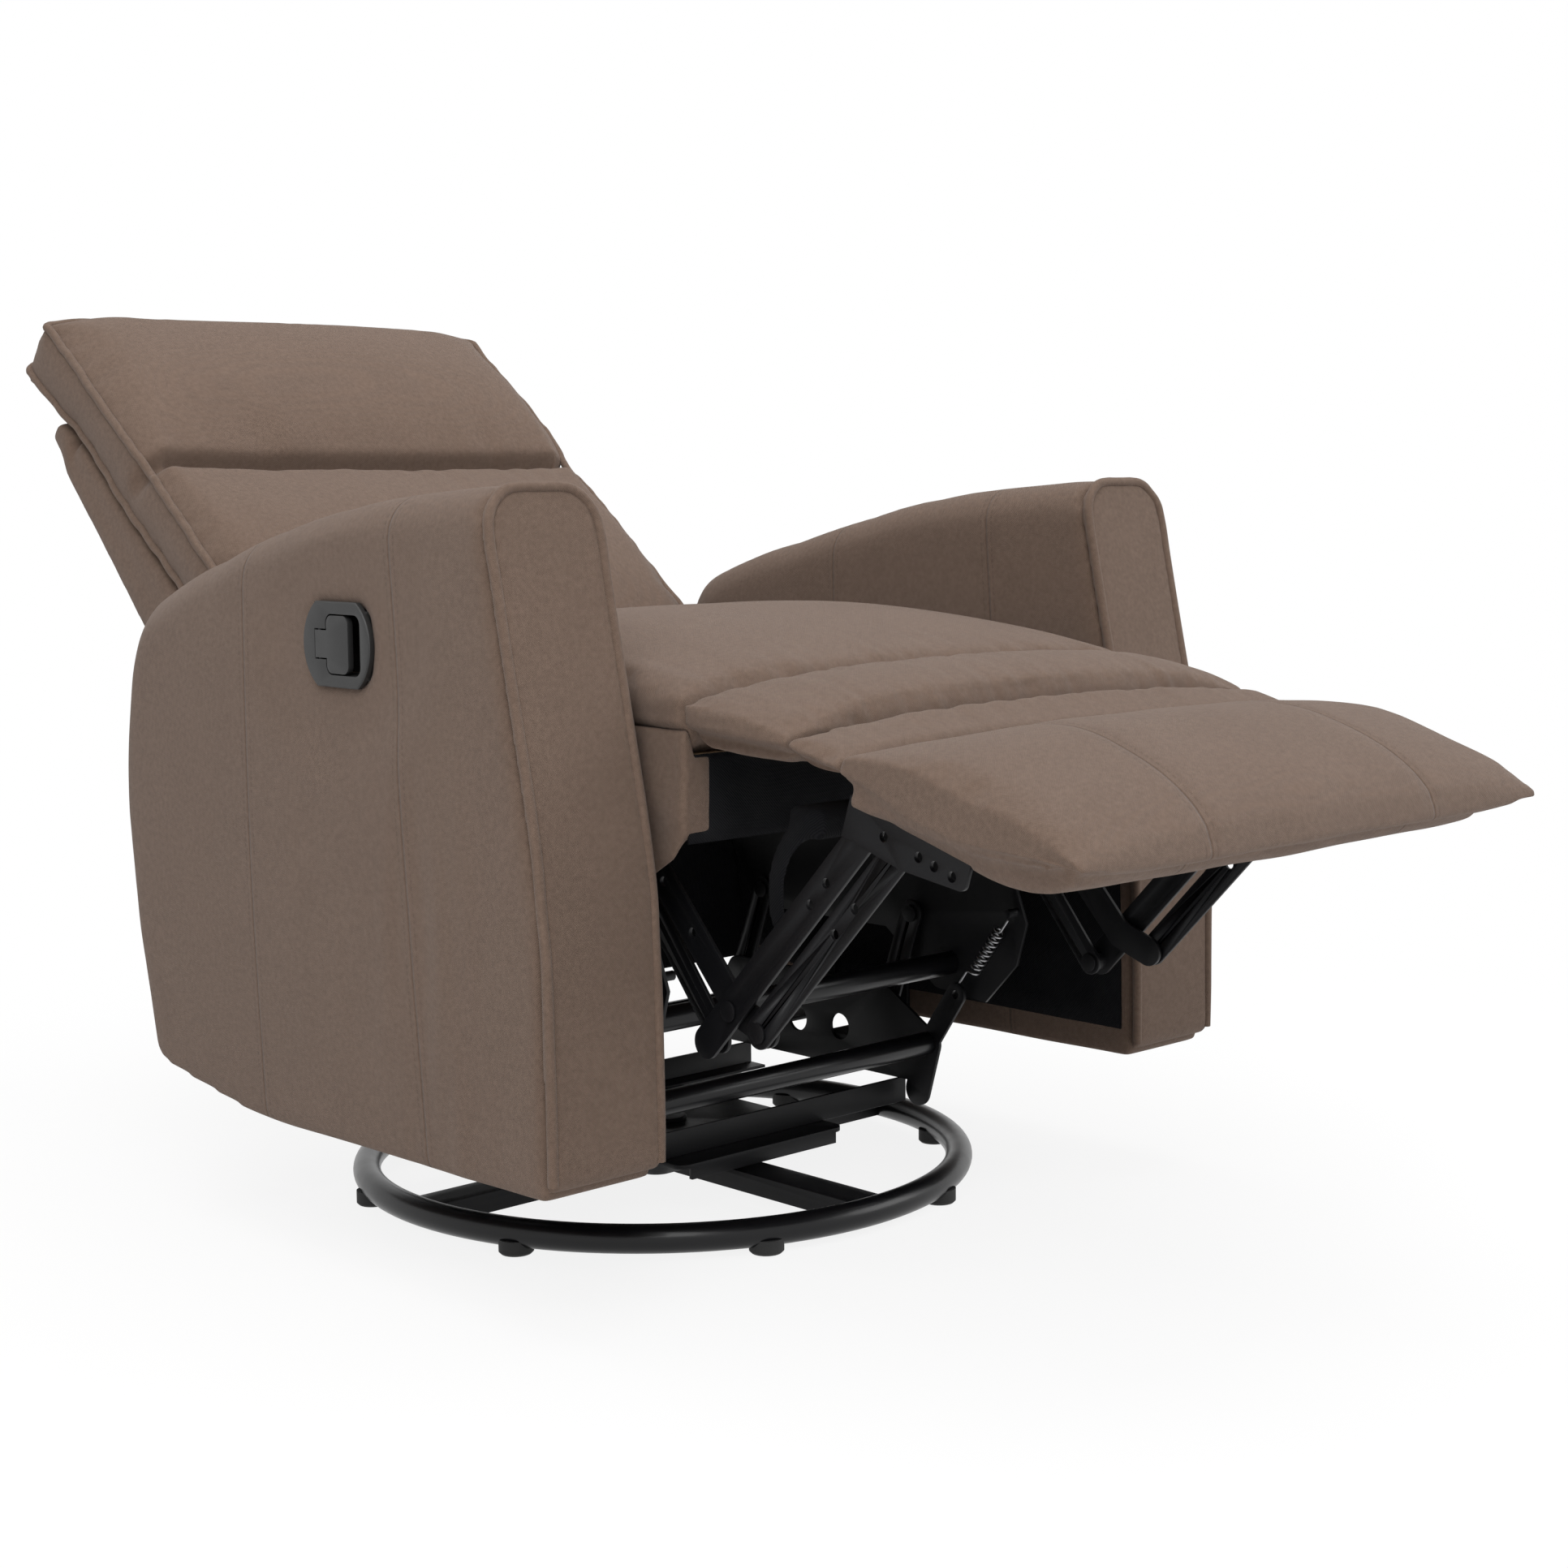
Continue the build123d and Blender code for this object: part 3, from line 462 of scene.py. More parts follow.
gatherForm = {"fine": (0.011, 0.08, 0.08), "loose": (0.026, 0.12, 0.12), "looseShare": 0.7, "seedStep": 3}


def gathers(points, place, reach, seed):
    near = np.exp(-np.abs(points[:, 1] - place) / reach)
    loose = ripple(points, gatherForm["loose"], seed + gatherForm["seedStep"])
    return near * (ripple(points, gatherForm["fine"], seed) + gatherForm["looseShare"] * loose)


sideLip = {
    "seam": [(-0.490, 0.450), (-0.431, 0.463), (-0.317, 0.471), (0.2, 0.471)],
    "depth": 0.0026,
    "reach": 0.0032,
    "below": (-0.013, -0.007),
    "underHalf": 0.2592,
    "sideFacing": 0.45,
    "crownHalf": 0.27,
    "crownFacing": (0.2, 0.8),
}


def lipGroove(points, normals):
    away = (points[:, 2] - line(points[:, 1], sideLip["seam"])) / sideLip["reach"]
    return np.exp(-(away**2)) * (np.abs(normals[:, 0]) > sideLip["sideFacing"]) * sideLip["depth"]


def topCrown(points, normals):
    across = np.clip(1 - (points[:, 0] / sideLip["crownHalf"]) ** 2, 0, 1)
    return across * smooth(normals[:, 2], *sideLip["crownFacing"])


def tuckUnder(points):
    low, high = sideLip["below"]
    below = 1 - smooth(points[:, 2] - line(points[:, 1], sideLip["seam"]), low, high)
    tucked = np.clip(points[:, 0], -sideLip["underHalf"], sideLip["underHalf"])
    points[:, 0] += (tucked - points[:, 0]) * below


seatCushion = {
    "voxel": 0.006,
    "pressure": 4.0,
    "steps": 14,
    "cap": 0.010,
    "soften": 2,
    "frontSeam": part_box("seat_cushion")[0].y,
    "overlap": 0.005,
    "gather": 0.0036,
    "gatherReach": 0.045,
    "broad": 0.002,
    "broadPitch": (0.11, 0.14, 0.2),
    "crown": 0.006,
}


def makeSeatCushion():
    pad = solidCopy("seat_cushion", "seatCushion")
    swell(pad, seatCushion)
    points, normals = readPoints(pad)
    seam = seatCushion["frontSeam"]
    push = gathers(points, seam, seatCushion["gatherReach"], 3.0) * seatCushion["gather"]
    push += ripple(points, seatCushion["broadPitch"], 9.0) * seatCushion["broad"]
    points += normals * (push - lipGroove(points, normals))[:, None]
    points[:, 2] += seatCushion["crown"] * topCrown(points, normals)
    points[:, 1] = np.maximum(points[:, 1], seam - seatCushion["overlap"])
    tuckUnder(points)
    writePoints(pad, points)
    finishSoft(pad, fabric, "seat", ["seat_cushion"])


chaisePad = {
    "voxel": 0.005,
    "pressure": 3.0,
    "steps": 12,
    "cap": 0.005,
    "soften": 1,
    "rear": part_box("chaise_pad")[1].y,
    "front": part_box("chaise_pad")[0].y,
    "overlap": 0.005,
    "gather": 0.0034,
    "gatherReach": 0.032,
    "crown": 0.009,
    "bridgeGather": 0.6,
    "bridgeReach": 0.06,
}


def makeChaise():
    rear, front, overlap, reach = (chaisePad[key] for key in ("rear", "front", "overlap", "gatherReach"))
    pad = solidCopy("chaise_pad", "chaisePad")
    swell(pad, chaisePad)
    points, normals = readPoints(pad)
    push = gathers(points, rear, reach, 5.0) + gathers(points, front, reach, 6.0)
    points += normals * (push * chaisePad["gather"] - lipGroove(points, normals))[:, None]
    points[:, 2] += chaisePad["crown"] * topCrown(points, normals)
    points[:, 1] = np.clip(points[:, 1], front - overlap, rear + overlap)
    tuckUnder(points)
    writePoints(pad, points)
    finishSoft(pad, fabric, "chaise", ["chaise_pad"])

    bridge = solidCopy("chaise_bridge", "chaiseBridge")
    swell(bridge, chaisePad)
    points, normals = readPoints(bridge)
    push = gathers(points, front, reach, 7.0) * chaisePad["gather"] * chaisePad["bridgeGather"]
    points += normals * (push - lipGroove(points, normals))[:, None]
    fading = smooth(points[:, 1], front - chaisePad["bridgeReach"], front)
    points[:, 2] += chaisePad["crown"] * topCrown(points, normals) * fading
    points[:, 1] = np.minimum(points[:, 1], front + overlap)
    tuckUnder(points)
    writePoints(bridge, points)
    finishSoft(bridge, fabric, "chaise", ["chaise_bridge"])
    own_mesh(bridge)


footrestPad = {
    "voxel": 0.005,
    "pressure": 3.0,
    "steps": 12,
    "cap": 0.006,
    "soften": 2,
    "point": (-0.491, 0.453),
    "along": (-0.9513, -0.3082),
    "length": 0.224,
    "bandHalf": 0.276,
    "bandFrom": (0.238, 0.258),
    "bandTaper": 0.85,
    "crown": 0.016,
    "noseLift": 0.013,
    "noseFrom": 0.11,
    "noseThin": (0.13, 0.215),
    "noseShare": 0.45,
    "crownHalf": 0.29,
    "crownDeep": 0.02,
    "widest": 0.2790,
    "longer": 1.035,
    "creases": (-0.004, -0.016),
    "creaseDepth": 0.0022,
    "creaseReach": 0.0032,
    "seamDepth": 0.0016,
    "seamReach": 0.006,
    "sideFacing": 0.45,
    "topFacing": 0.2,
    "broad": 0.0015,
    "broadPitch": (0.09, 0.09, 0.2),
    "darkHalf": 0.24,
    "darkFront": -0.65,
}


def makeFootrest():
    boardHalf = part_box("footrest_board")[1].x
    spread = footrestPad["bandHalf"] / boardHalf
    pad = solidCopy("footrest_pad", "footrestPad", "footrest_board", spread=spread)
    swell(pad, footrestPad)
    points, normals = readPoints(pad)
    alongY, alongZ = footrestPad["along"]
    y, z = points[:, 1] - footrestPad["point"][0], points[:, 2] - footrestPad["point"][1]
    u, n = y * alongY + z * alongZ, y * alongZ - z * alongY
    share = np.clip(u / footrestPad["length"], 0, 1)
    nose = footrestPad["noseShare"] * smooth(u, *footrestPad["noseThin"])
    edge = np.maximum(smooth(np.abs(points[:, 0]), *footrestPad["bandFrom"]), nose)
    lift = np.where(n < 0, -n * footrestPad["bandTaper"] * share * edge, 0)
    across = np.clip(1 - (points[:, 0] / footrestPad["crownHalf"]) ** 2, 0, 1)
    onTop = np.clip(n / footrestPad["crownDeep"], 0, 1)
    lift += footrestPad["crown"] * np.sin(math.pi * share) * across * onTop
    lift += footrestPad["noseLift"] * smooth(u, footrestPad["noseFrom"], footrestPad["length"])
    base, slope = seamLines["footrest"]
    away = np.abs(np.abs(points[:, 0]) - (base + slope * (points[:, 1] - axisY)))
    groove = np.exp(-((away / footrestPad["seamReach"]) ** 2)) * (normals[:, 2] > footrestPad["topFacing"])
    onSide = np.abs(normals[:, 0]) > footrestPad["sideFacing"]
    push = -groove * footrestPad["seamDepth"]
    for crease in footrestPad["creases"]:
        gap = (n - crease * (1 - footrestPad["bandTaper"] * share)) / footrestPad["creaseReach"]
        push -= np.exp(-(gap**2)) * onSide * footrestPad["creaseDepth"]
    push += ripple(points, footrestPad["broadPitch"], 2.0) * footrestPad["broad"]
    points += normals * push[:, None]
    ahead = np.maximum(u, 0) * (footrestPad["longer"] - 1)
    points[:, 0] = np.clip(points[:, 0], -footrestPad["widest"], footrestPad["widest"])
    points[:, 1] += lift * alongZ + ahead * alongY
    points[:, 2] += ahead * alongZ - lift * alongY
    writePoints(pad, points)
    finishSoft(pad, footFabric, "footrest", ["footrest_pad", "footrest_board"])
    darkUnder(pad, footrestPad["darkHalf"], footrestPad["darkFront"])


backPad = {
    "voxel": 0.006,
    "pressure": 4.0,
    "steps": 14,
    "cap": 0.014,
    "soften": 2,
    "point": (axisY + 0.302, 0.535),
    "lean": 51.0,
    "bottom": -0.100,
    "tuck": 0.196,
    "top": 0.426,
    "half": 0.266,
    "widest": 0.277,
    "thick": 0.060,
    "rise": 0.018,
    "puff": 0.009,
    "headThick": 0.012,
    "headFrom": (0.31, 0.36),
    "crown": 0.010,
    "creaseDepth": 0.020,
    "creaseReach": 0.0075,
    "creaseEnds": (0.235, 0.55),
    "faceDeep": (0.045, 0.03),
    "wrinkle": 0.0032,
    "wrinkleReach": 0.05,
    "wrinklePitches": ((0.020, 0.09, 0.09), (0.045, 0.14, 0.14)),
    "looseShare": 0.6,
    "broad": 0.0025,
    "broadPitch": (0.12, 0.12, 0.12),
    "riseFrom": 0.05,
    "riseRear": 0.5,
    "riseEnds": (0.19, 0.8),
    "pipe": 0.0042,
    "pipeOut": 0.006,
    "pipeTop": 0.004,
    "pipeCorner": 0.02,
    "pipeDeep": (0.002, 0.004),
    "pipeFoot": 0.004,
    "pipeShort": 0.024,
    "pipeKnots": (40, 21),
    "pipeLift": 0.001,
    "thickSlack": 0.001,
}
backWay = (math.sin(math.radians(backPad["lean"])), math.cos(math.radians(backPad["lean"])))


# On the back, s runs up the face and t goes in behind it.
def onBack(x, s, t):
    y, z = backPad["point"]
    return (x, y + s * backWay[0] + t * backWay[1], z + s * backWay[1] - t * backWay[0])


def backPlaces(points):
    y = points[:, 1] - backPad["point"][0]
    z = points[:, 2] - backPad["point"][1]
    return y * backWay[0] + z * backWay[1], y * backWay[1] - z * backWay[0]


def fromBack(points, s, t):
    places = onBack(points[:, 0], s, t)
    points[:, 1], points[:, 2] = places[1], places[2]


def makeBack():
    pad = solidCopy("back_cushion", "backCushion")
    swell(pad, backPad)
    points, normals = readPoints(pad)
    s, t = backPlaces(points)
    low, tuck, top = backPad["bottom"], backPad["tuck"], backPad["top"]
    deepest, fading = backPad["faceDeep"]
    face = np.clip((deepest - t) / fading, 0, 1)
    crease = np.exp(-(((s - tuck) / backPad["creaseReach"]) ** 2)) * face
    ends, share = backPad["creaseEnds"]
    crease *= 1 - share * smooth(np.abs(points[:, 0]), ends, backPad["half"])
    fine, loose = backPad["wrinklePitches"]
    wave = ripple(points, fine, 7.0) + backPad["looseShare"] * ripple(points, loose, 11.0)
    near = np.exp(-np.abs(s - tuck) / backPad["wrinkleReach"]) * face
    share = np.where(s > tuck, (s - tuck) / (top - tuck), (tuck - s) / (tuck - low))
    across = np.clip(1 - (points[:, 0] / backPad["half"]) ** 4, 0, 1)
    crown = np.sin(math.pi * np.clip(share, 0, 1)) * across * face * backPad["crown"]
    push = near * wave * backPad["wrinkle"] + ripple(points, backPad["broadPitch"], 4.0) * backPad["broad"]
    points += normals * (push + crown - crease * backPad["creaseDepth"])[:, None]
    points[:, 0] = np.clip(points[:, 0], -backPad["widest"], backPad["widest"])
    s, t = backPlaces(points)
    t = np.minimum(t, backPad["thick"] + backPad["thickSlack"])
    deep = np.clip(t / backPad["thick"], 0, 1)
    t += backPad["headThick"] * smooth(s, *backPad["headFrom"]) * deep - backPad["puff"] * (1 - deep)
    ends, share = backPad["riseEnds"]
    level = 1 - share * smooth(np.abs(points[:, 0]), ends, backPad["widest"])
    rise = backPad["rise"] * smooth(s, tuck + backPad["riseFrom"], top) * (1 - backPad["riseRear"] * deep)
    fromBack(points, s + rise * level, t)
    writePoints(pad, points)
    finishSoft(pad, fabric, "back", ["back_cushion"])
    edge, corner = backPad["half"] + backPad["pipeOut"], backPad["pipeCorner"]
    top += backPad["rise"] + backPad["pipeTop"]
    knots, topKnots = backPad["pipeKnots"]
    span = top - backPad["pipeShort"] - low
    heights = [low + backPad["pipeFoot"] + span * i / knots for i in range(knots + 1)]
    ahead, behind = backPad["pipeDeep"]
    for depth, name in ((ahead - backPad["puff"], "Front"), (backPad["thick"] - behind, "Rear")):
        left = [onBack(-edge, s, depth) for s in heights]
        across = [onBack(x, top, depth) for x in np.linspace(-edge + corner, edge - corner, topKnots)]
        right = [onBack(edge, s, depth) for s in reversed(heights)]
        path = hug(pad, left + across + right, backPad["pipeLift"])
        piping("backPiping" + name, path, backPad["pipe"], "back")


backWedge = {
    "voxel": 0.006,
    "soften": 3,
    "front": 0.0610,
    "frameFront": 0.0600,
    "shellFront": 0.0956,
    "shellRear": 0.1230,
    "frameHigh": (0.296, 0.306),
    "thick": [(-0.10, 0.080), (0.10, 0.072), (0.34, 0.036)],
    "rise": 0.020,
    "riseFrom": (0.2, 0.33),
    "evenOut": 12,
}


def makeBackShell():
    shell = solidCopy("back_shell", "backShell", "back_frame")
    remake(shell, backWedge["voxel"], backWedge["soften"])
    points = readPoints(shell)[0]
    s, t = backPlaces(points)
    above = smooth(s, *backWedge["frameHigh"])
    start = backWedge["frameFront"] + (backWedge["shellFront"] - backWedge["frameFront"]) * above
    share = np.clip((t - start) / (backWedge["shellRear"] - start), 0, 1)
    raised = s + backWedge["rise"] * smooth(s, *backWedge["riseFrom"])
    fromBack(points, raised, backWedge["front"] + share * line(s, backWedge["thick"]))
    writePoints(shell, points)
    soften(shell, backWedge["evenOut"])
    finishSoft(shell, fabric, "back", ["back_shell", "back_frame"])


armForm = {
    "voxel": 0.006,
    "bulge": 0.006,
    "soften": 3,
    "inner": 0.286,
    "outer": 0.392,
    "front": [(-0.3362, 0.124), (-0.3331, 0.292), (-0.3218, 0.387), (-0.266, 0.644)],
    "crest": [
        (-0.226, 0.0),
        (-0.145, -0.006),
        (-0.059, -0.0135),
        (0.031, -0.014),
        (0.08, -0.010),
        (0.126, -0.006),
        (0.168, 0.004),
        (0.2, 0.011),
        (0.24, 0.018),
    ],
    "soleDrop": 0.006,
    "soleTo": (0.12, 0.2),
    "evenOut": 4,
    "crestFrom": (0.33, 0.58),
    "rear": [(0.144, 0.228), (0.38, 0.276), (0.457, 0.274), (0.505, 0.25), (0.53, 0.232), (0.566, 0.169)],
    "rearGrow": [(0.13, 0.03), (0.25, 0.033), (0.35, 0.024), (0.42, 0.014), (0.48, 0.003), (0.6, 0.0)],
    "innerGrow": [(0.38, 0.0), (0.46, 0.026), (0.53, 0.04), (0.58, 0.02), (0.62, 0.0)],
    "innerFade": (0.325, 0.388),
    "growFrom": 0.02,
    "fold": 0.0024,
    "foldReach": 0.07,
    "foldLine": (-0.2, 0.0683),
    "foldHigh": (-0.5, -0.3),
    "foldLeast": 0.3,
    "foldPitches": ((0.2, 0.018, 0.15), (0.2, 0.04, 0.3)),
    "broad": 0.001,
    "broadPitch": (0.2, 0.11, 0.16),
    "crownY": (-0.03, 0.32),
    "crownZ": (0.36, 0.27),
    "panelVoxel": 0.004,
    "panelSoften": 2,
    "outerFacing": (0.6, 0.4),
    "lever": (-0.076, 0.519),
    "leverLong": 1.25,
    "leverClear": (0.06, 0.115),
    "round": 0.034,
    "roundTurns": (22.5, 45.0, 67.5),
    "pipe": 0.0042,
    "pipeFoot": 0.004,
    "pipeKnots": (14, 3),
    "pipeLift": 0.0005,
}


def frontLine(z):
    return axisY + float(line(z, [(height, depth) for depth, height in armForm["front"]]))


def makeArm(side, name):
    label = name.capitalize()
    arm = solidCopy("arm_" + name, "arm" + label)
    remake(arm, armForm["voxel"], armForm["soften"])
    points, normals = readPoints(arm)
    y, z = points[:, 1] - axisY, points[:, 2]
    facing, span = armForm["outerFacing"]
    outer = np.clip((normals[:, 0] * side - facing) / span, 0, 1)
    middleY, halfY = armForm["crownY"]
    middleZ, halfZ = armForm["crownZ"]
    crown = np.clip(1 - ((y - middleY) / halfY) ** 2, 0, 1)
    crown *= np.clip(1 - ((z - middleZ) / halfZ) ** 2, 0, 1)
    clear = np.ones(len(points))
    if side < 0:
        leverY, leverZ = armForm["lever"]
        away = np.hypot((y - leverY) / armForm["leverLong"], z - leverZ)
        clear = smooth(away, *armForm["leverClear"])
    broad = ripple(points, armForm["broadPitch"], 6.0)
    fine, loose = armForm["foldPitches"]
    folds = ripple(points, fine, 8.0) + ripple(points, loose, 12.0)
    start, slope = armForm["foldLine"]
    least = armForm["foldLeast"]
    nearSeam = np.exp(-np.abs(y - (z * slope + start)) / armForm["foldReach"])
    nearSeam *= least + (1 - least) * smooth(-z, *armForm["foldHigh"])
    push = outer * clear * (crown * armForm["bulge"] + nearSeam * folds * armForm["fold"])
    points += normals * (push + broad * clear * armForm["broad"])[:, None]
    within = 1 - smooth(np.abs(points[:, 0]), *armForm["innerFade"])
    reach = line(z, armForm["rearGrow"]) + within * line(z, armForm["innerGrow"])
    grow = smooth(y, armForm["growFrom"], line(z, armForm["rear"])) * reach
    points[:, 1] += grow
    lifted = line(y, armForm["crest"]) * smooth(z, *armForm["crestFrom"]) * clear
    points[:, 2] += lifted - armForm["soleDrop"] * (1 - smooth(z, *armForm["soleTo"]))
    writePoints(arm, points)
    soften(arm, armForm["evenOut"])
    finishSoft(arm, armFabric, "chassis", ["arm_" + name])

    panel = solidCopy("arm_front_" + name, "armFront" + label)
    remake(panel, armForm["panelVoxel"], armForm["panelSoften"])
    finishSoft(panel, fabric, "chassis", ["arm_front_" + name])

    curve, turns = armForm["round"], [math.radians(turn) for turn in armForm["roundTurns"]]
    bottom, top = armForm["front"][0][1] + armForm["pipeFoot"], armForm["front"][-1][1]
    inner, outside = armForm["inner"], armForm["outer"]
    knots, topKnots = armForm["pipeKnots"]
    rise = [(top - curve - bottom) * i / knots for i in range(knots + 1)]
    flat = outside - inner - 2 * curve
    path = [(outside, bottom + step) for step in rise]
    path += [(outside - curve + curve * math.cos(a), top - curve + curve * math.sin(a)) for a in turns]
    path += [(outside - curve - flat * i / topKnots, top) for i in range(topKnots + 1)]
    path += [(inner + curve - curve * math.sin(a), top - curve + curve * math.cos(a)) for a in turns]
    path += [(inner, top - curve - step) for step in rise]
    places = [(side * x, frontLine(z), z) for x, z in path]
    piping("armPiping" + label, hug(panel, places, armForm["pipeLift"]), armForm["pipe"], "chassis")


seatFlap = {
    "voxel": 0.003,
    "soften": 9,
    "outerLayer": (0.2585, 0.2600),
    "topRaise": 0.021,
    "topFrom": (0.41, 0.438),
    "frontGrow": -0.002,
    "frontReach": 0.08,
    "bottom": [(-0.313, 0.030), (-0.296, 0.008), (-0.265, -0.010), (0.2, -0.010)],
    "bottomTo": (0.352, 0.40),
    "bulge": 0.004,
    "bulgeZ": (0.40, 0.06),
    "fold": 0.0028,
    "foldPitch": (0.2, 0.03, 0.05),
}


def makeFlap(side, name):
    flap = solidCopy("seat_side_" + name, "seatSide" + name.capitalize())
    remake(flap, seatFlap["voxel"], seatFlap["soften"])
    points, normals = readPoints(flap)
    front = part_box("seat_side_" + name)[0].y
    outside = smooth(np.abs(points[:, 0]), *seatFlap["outerLayer"])
    raised = outside * smooth(points[:, 2], *seatFlap["topFrom"]) * seatFlap["topRaise"]
    lowered = line(points[:, 1], seatFlap["bottom"]) * (1 - smooth(points[:, 2], *seatFlap["bottomTo"]))
    ahead = 1 - smooth(points[:, 1], front, front + seatFlap["frontReach"])
    outward = np.clip(normals[:, 0] * side, 0, 1)
    height, half = seatFlap["bulgeZ"]
    middle = np.clip(1 - ((points[:, 2] - height) / half) ** 2, 0, 1)
    folds = ripple(points, seatFlap["foldPitch"], 13.0) * seatFlap["fold"]
    points += normals * (outward * middle * (seatFlap["bulge"] + folds))[:, None]
    points[:, 1] -= ahead * seatFlap["frontGrow"]
    points[:, 2] += raised + lowered
    writePoints(flap, points)
    finishSoft(flap, fabric, "seat", ["seat_side_" + name])


coverCloth = {"cuts": 12, "sag": 0.003, "foldPitch": (0.05, 0.05, 0.05), "smoothAngle": math.radians(35)}


def coverSheet(nodeName, name, body, face):
    cover = solidCopy(nodeName, name)
    area = sum(polygon.area for polygon in cover.data.polygons) / 2
    only(cover)
    bpy.ops.object.mode_set(mode="EDIT")
    bpy.ops.mesh.select_all(action="SELECT")
    bpy.ops.mesh.subdivide(number_cuts=coverCloth["cuts"])
    bpy.ops.object.mode_set(mode="OBJECT")
    points = readPoints(cover)[0]
    thin = int(np.argmax(np.abs(face)))
    flatPoints = points.copy()
    flatPoints[:, thin] = 0
    sag = np.abs(ripple(flatPoints, coverCloth["foldPitch"], 15.0)) * coverCloth["sag"]
    points += np.array(face) * sag[:, None]
    writePoints(cover, points)
    only(cover)
    bpy.ops.object.shade_smooth_by_angle(angle=coverCloth["smoothAngle"])
    dress(cover, twill)
    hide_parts(nodeName)
    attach(cover, body)


def makeCovers():
    for side, name in sides:
        label = name.capitalize()
        coverSheet("arm_lining_" + name, "armLining" + label, "chassis", (-side, 0, 0))
    coverSheet("seat_front_lining", "seatFrontLining", "seat", (0, -1, 0))
    coverSheet("seat_webbing", "seatWebbing", "seat", (0, 0, -1))


rearPanel = {"voxel": 0.004, "soften": 2, "insideFacing": -0.3, "slatVoxel": 0.003}


def makePanels():
    panel = solidCopy("rear_panel", "rearPanel")
    remake(panel, rearPanel["voxel"], rearPanel["soften"])
    finishSoft(panel, fabric, "chassis", ["rear_panel"])
    panel.data.materials.append(twill)
    for face in panel.data.polygons:
        face.material_index = int(face.normal.y < rearPanel["insideFacing"])

    slat = solidCopy("chaise_slat", "chaiseSlat")
    remake(slat, rearPanel["slatVoxel"], rearPanel["soften"])
    finishSoft(slat, twill, "lift", ["chaise_slat"])


# Hard parts keep their solids and get a small bevel and a finish.
hardEdge = {
    "weld": 0.00002,
    "bevel": 0.0006,
    "segments": 2,
    "bevelAngle": math.radians(40),
    "smoothAngle": math.radians(35),
    "glossTubes": ("base_ring", "front_cross_tube", "rear_cross_tube", "seat_cross_tube"),
    "bevelled": ("black_metal", "black_plastic", "board"),
}


def finishHard():
    finishes = {
        "black_metal": blackMetal,
        "black_plastic": blackPlastic,
        "foot_rubber": rubber,
        "spring_steel": steelWire,
        "black_cloth": twill,
        "board": board,
        "upholstery": fabric,
    }
    slots = {row["node"]: row["material_slot"] for row in frame["record"]["subparts"]}
    for nodeName, node in nodes.items():
        if node.hide_render:
            continue
        glossy = nodeName in hardEdge["glossTubes"]
        dress(node, ringMetal if glossy else finishes[slots[nodeName]])
        only(node)
        bpy.ops.object.shade_smooth_by_angle(angle=hardEdge["smoothAngle"])
        if slots[nodeName] in hardEdge["bevelled"]:
            weld = node.modifiers.new("weld", "WELD")
            weld.merge_threshold = hardEdge["weld"]
            bevel = node.modifiers.new("edge", "BEVEL")
            bevel.width = hardEdge["bevel"]
            bevel.segments = hardEdge["segments"]
            bevel.limit_method = "ANGLE"
            bevel.angle_limit = hardEdge["bevelAngle"]
    print("hard parts finished")


studio = {
    "floorSize": 14.0,
    "floorTone": (0.86, 0.86, 0.86, 1),
    "shade": 0.14,
    "shadeReach": (0.5, 1.5),
    "worldStrength": 0.55,
    "keyPlace": (-2.6, -2.4, 3.2),
    "keySize": 2.6,
    "keyPower": 105.0,
    "fillPlace": (2.8, -2.6, 2.2),
    "fillSize": 2.4,
    "fillPower": 55.0,
    "topPlace": (0.0, 0.2, 3.4),
    "topSize": 3.0,
    "topPower": 60.0,
    "aim": (0, 0, 0.4),
    "floorDrop": -0.0005,
    "floorRoughness": 0.9,
}
cameraView = {
    "azimuth": -44.768,
    "pitch": 6.90,
    "roll": -0.243,
    "focalPixels": 3172.845,
    "framePixels": 1932,
    "sensor": 36,
    "centre": (1065.67, 967.43),
    "place": (-1.5313, axisY - 1.8123, 0.6515),
}


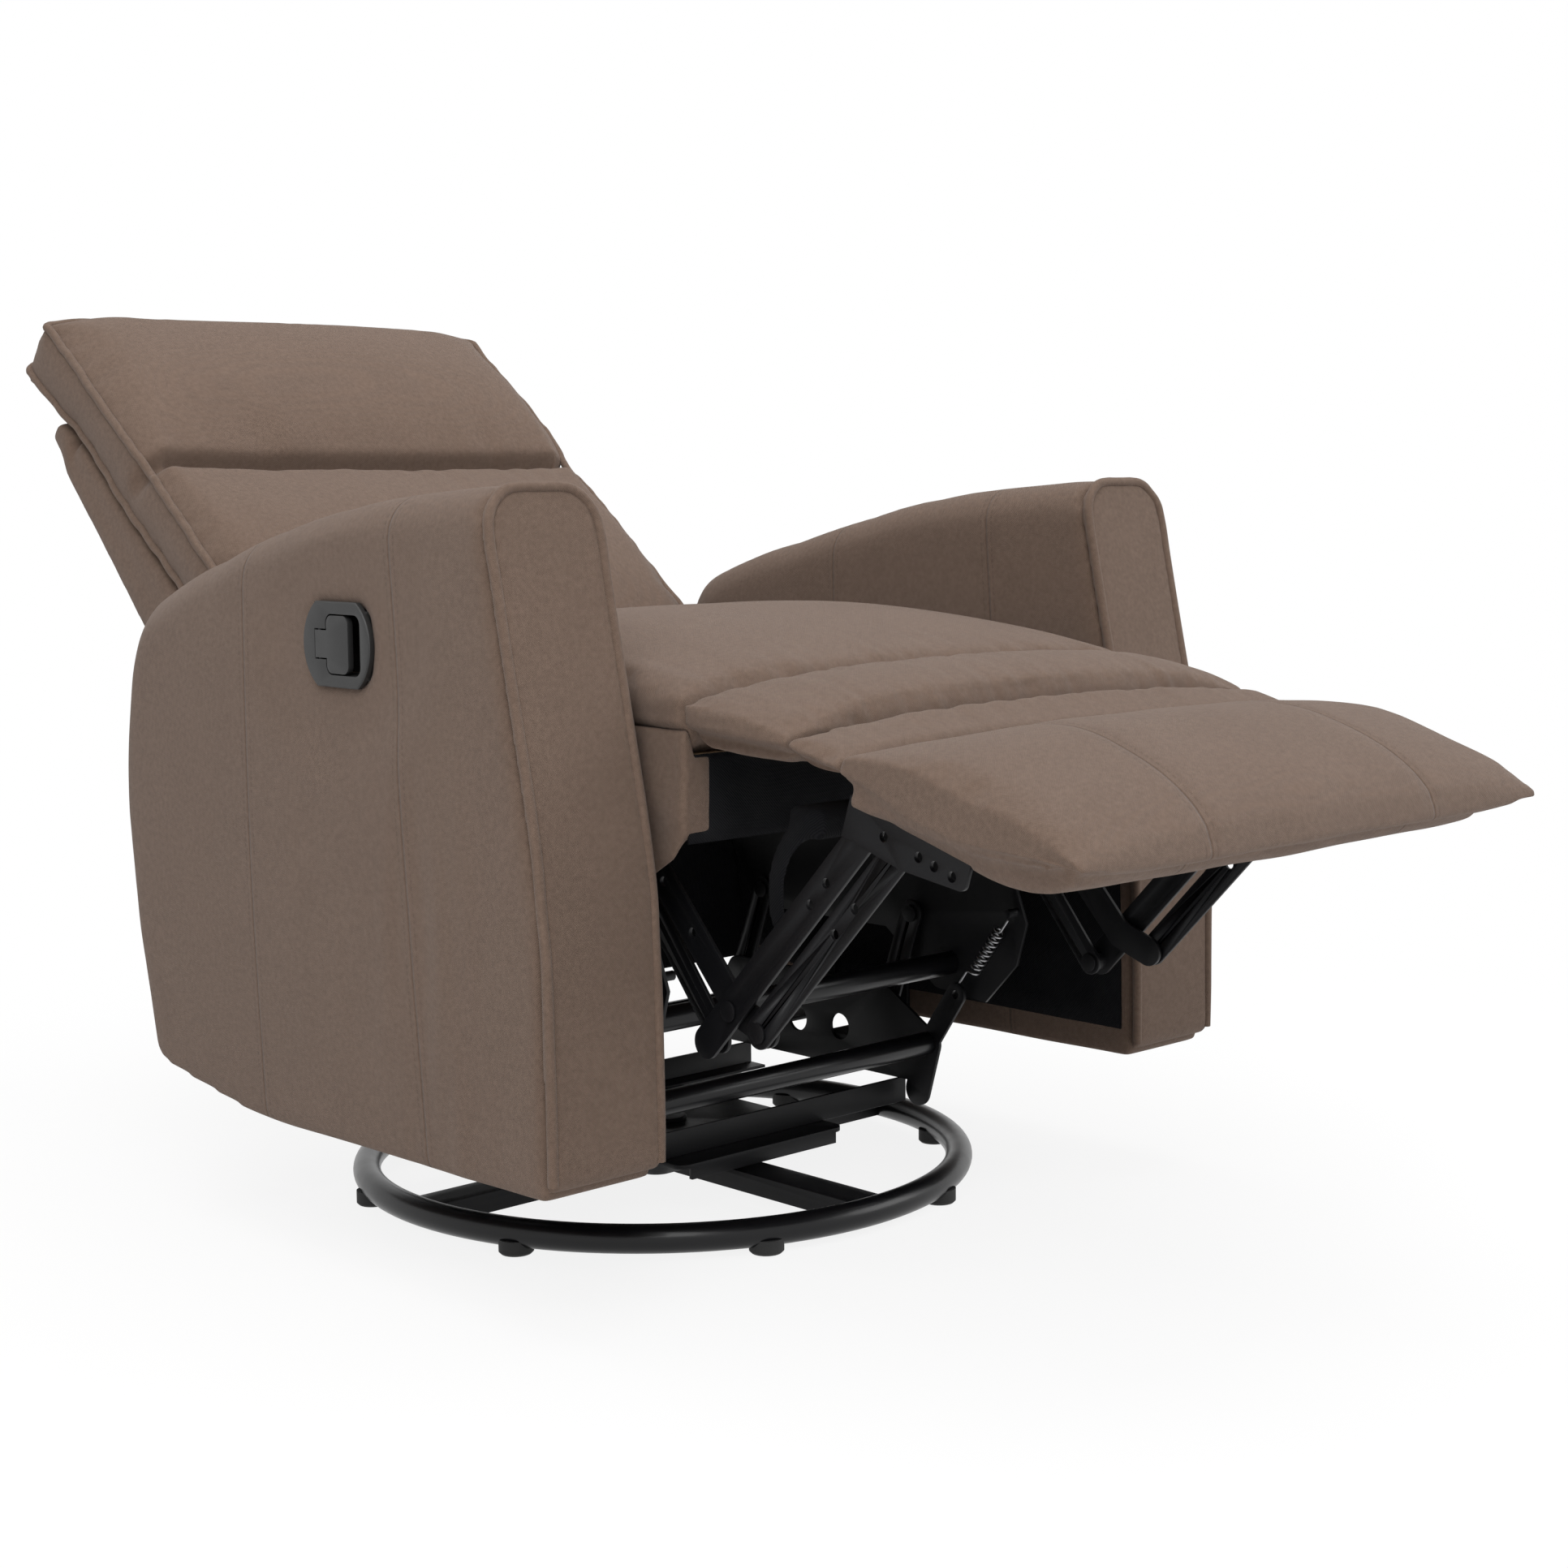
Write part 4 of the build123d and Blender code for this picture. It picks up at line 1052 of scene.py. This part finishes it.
def makeStudio():
    bpy.ops.object.select_all(action="DESELECT")
    bpy.ops.mesh.primitive_plane_add(size=studio["floorSize"], location=(0, 0, studio["floorDrop"]))
    floor = bpy.context.object
    floor.name = "floor"
    look = Look("paleFloor")
    look.set(Base_Color=studio["floorTone"], Roughness=studio["floorRoughness"])
    x, y = look.split(look.coords())[:2]
    shade = (x * x + y * y).root().fade(*studio["shadeReach"]) * studio["shade"]
    rays = ("Camera", "Glossy", "Transmission")
    seen = [look.add("ShaderNodeLightPath", out="Is " + ray + " Ray") for ray in rays]
    shown = seen[0].most(seen[1]).most(seen[2])
    glow = look.add("ShaderNodeEmission", None, {"Color": (1, 1, 1, 1), "Strength": 1.0})
    matte = Wire(look, look.surface.outputs[0])
    mixed = look.add("ShaderNodeMixShader", None, [shown * (1.0 - shade), matte, glow])
    look.feed(look.tree.nodes["Material Output"].inputs["Surface"], mixed)
    floor.data.materials.append(look.material)

    world = bpy.data.worlds.new("studioWorld")
    bpy.context.scene.world = world
    world.use_nodes = True
    tree = world.node_tree
    tree.nodes["Background"].inputs["Color"].default_value = (1, 1, 1, 1)
    path = tree.nodes.new("ShaderNodeLightPath")
    direct = path.outputs["Is Camera Ray"]
    for ray in rays[1:]:
        either = tree.nodes.new("ShaderNodeMath")
        either.operation = "MAXIMUM"
        tree.links.new(direct, either.inputs[0])
        tree.links.new(path.outputs["Is " + ray + " Ray"], either.inputs[1])
        direct = either.outputs[0]
    strength = tree.nodes.new("ShaderNodeMapRange")
    strength.inputs["To Min"].default_value = studio["worldStrength"]
    strength.inputs["To Max"].default_value = 1.0
    tree.links.new(direct, strength.inputs["Value"])
    tree.links.new(strength.outputs[0], tree.nodes["Background"].inputs["Strength"])

    for part in ("key", "fill", "top"):
        bpy.ops.object.light_add(type="AREA", location=studio[part + "Place"])
        lamp = bpy.context.object
        lamp.name = part + "Lamp"
        lamp.data.energy = studio[part + "Power"]
        lamp.data.size = studio[part + "Size"]
        aim = Vector(studio["aim"]) - lamp.location
        lamp.rotation_euler = aim.to_track_quat("-Z", "Y").to_euler()

    side, tilt = math.radians(cameraView["azimuth"]), math.radians(cameraView["pitch"])
    back = Vector((math.sin(side) * math.cos(tilt), -math.cos(side) * math.cos(tilt), math.sin(tilt)))
    bpy.ops.object.camera_add(location=cameraView["place"])
    camera = bpy.context.object
    camera.rotation_mode = "QUATERNION"
    level = (-back).to_track_quat("-Z", "Y")
    camera.rotation_quaternion = level @ Quaternion((0, 0, 1), math.radians(cameraView["roll"]))
    pixels = cameraView["framePixels"]
    camera.data.sensor_width = cameraView["sensor"]
    camera.data.lens = cameraView["sensor"] * cameraView["focalPixels"] / pixels
    camera.data.shift_x = (pixels / 2 - cameraView["centre"][0]) / pixels
    camera.data.shift_y = (cameraView["centre"][1] - pixels / 2) / pixels
    bpy.context.scene.camera = camera
    bpy.context.scene.view_settings.view_transform = "Standard"
    print("studio set")


makeSeatCushion()
makeChaise()
makeFootrest()
makeBack()
makeBackShell()
for side, name in sides:
    makeArm(side, name)
    makeFlap(side, name)
makeCovers()
makePanels()
print("upholstery made")
finishHard()
makeStudio()
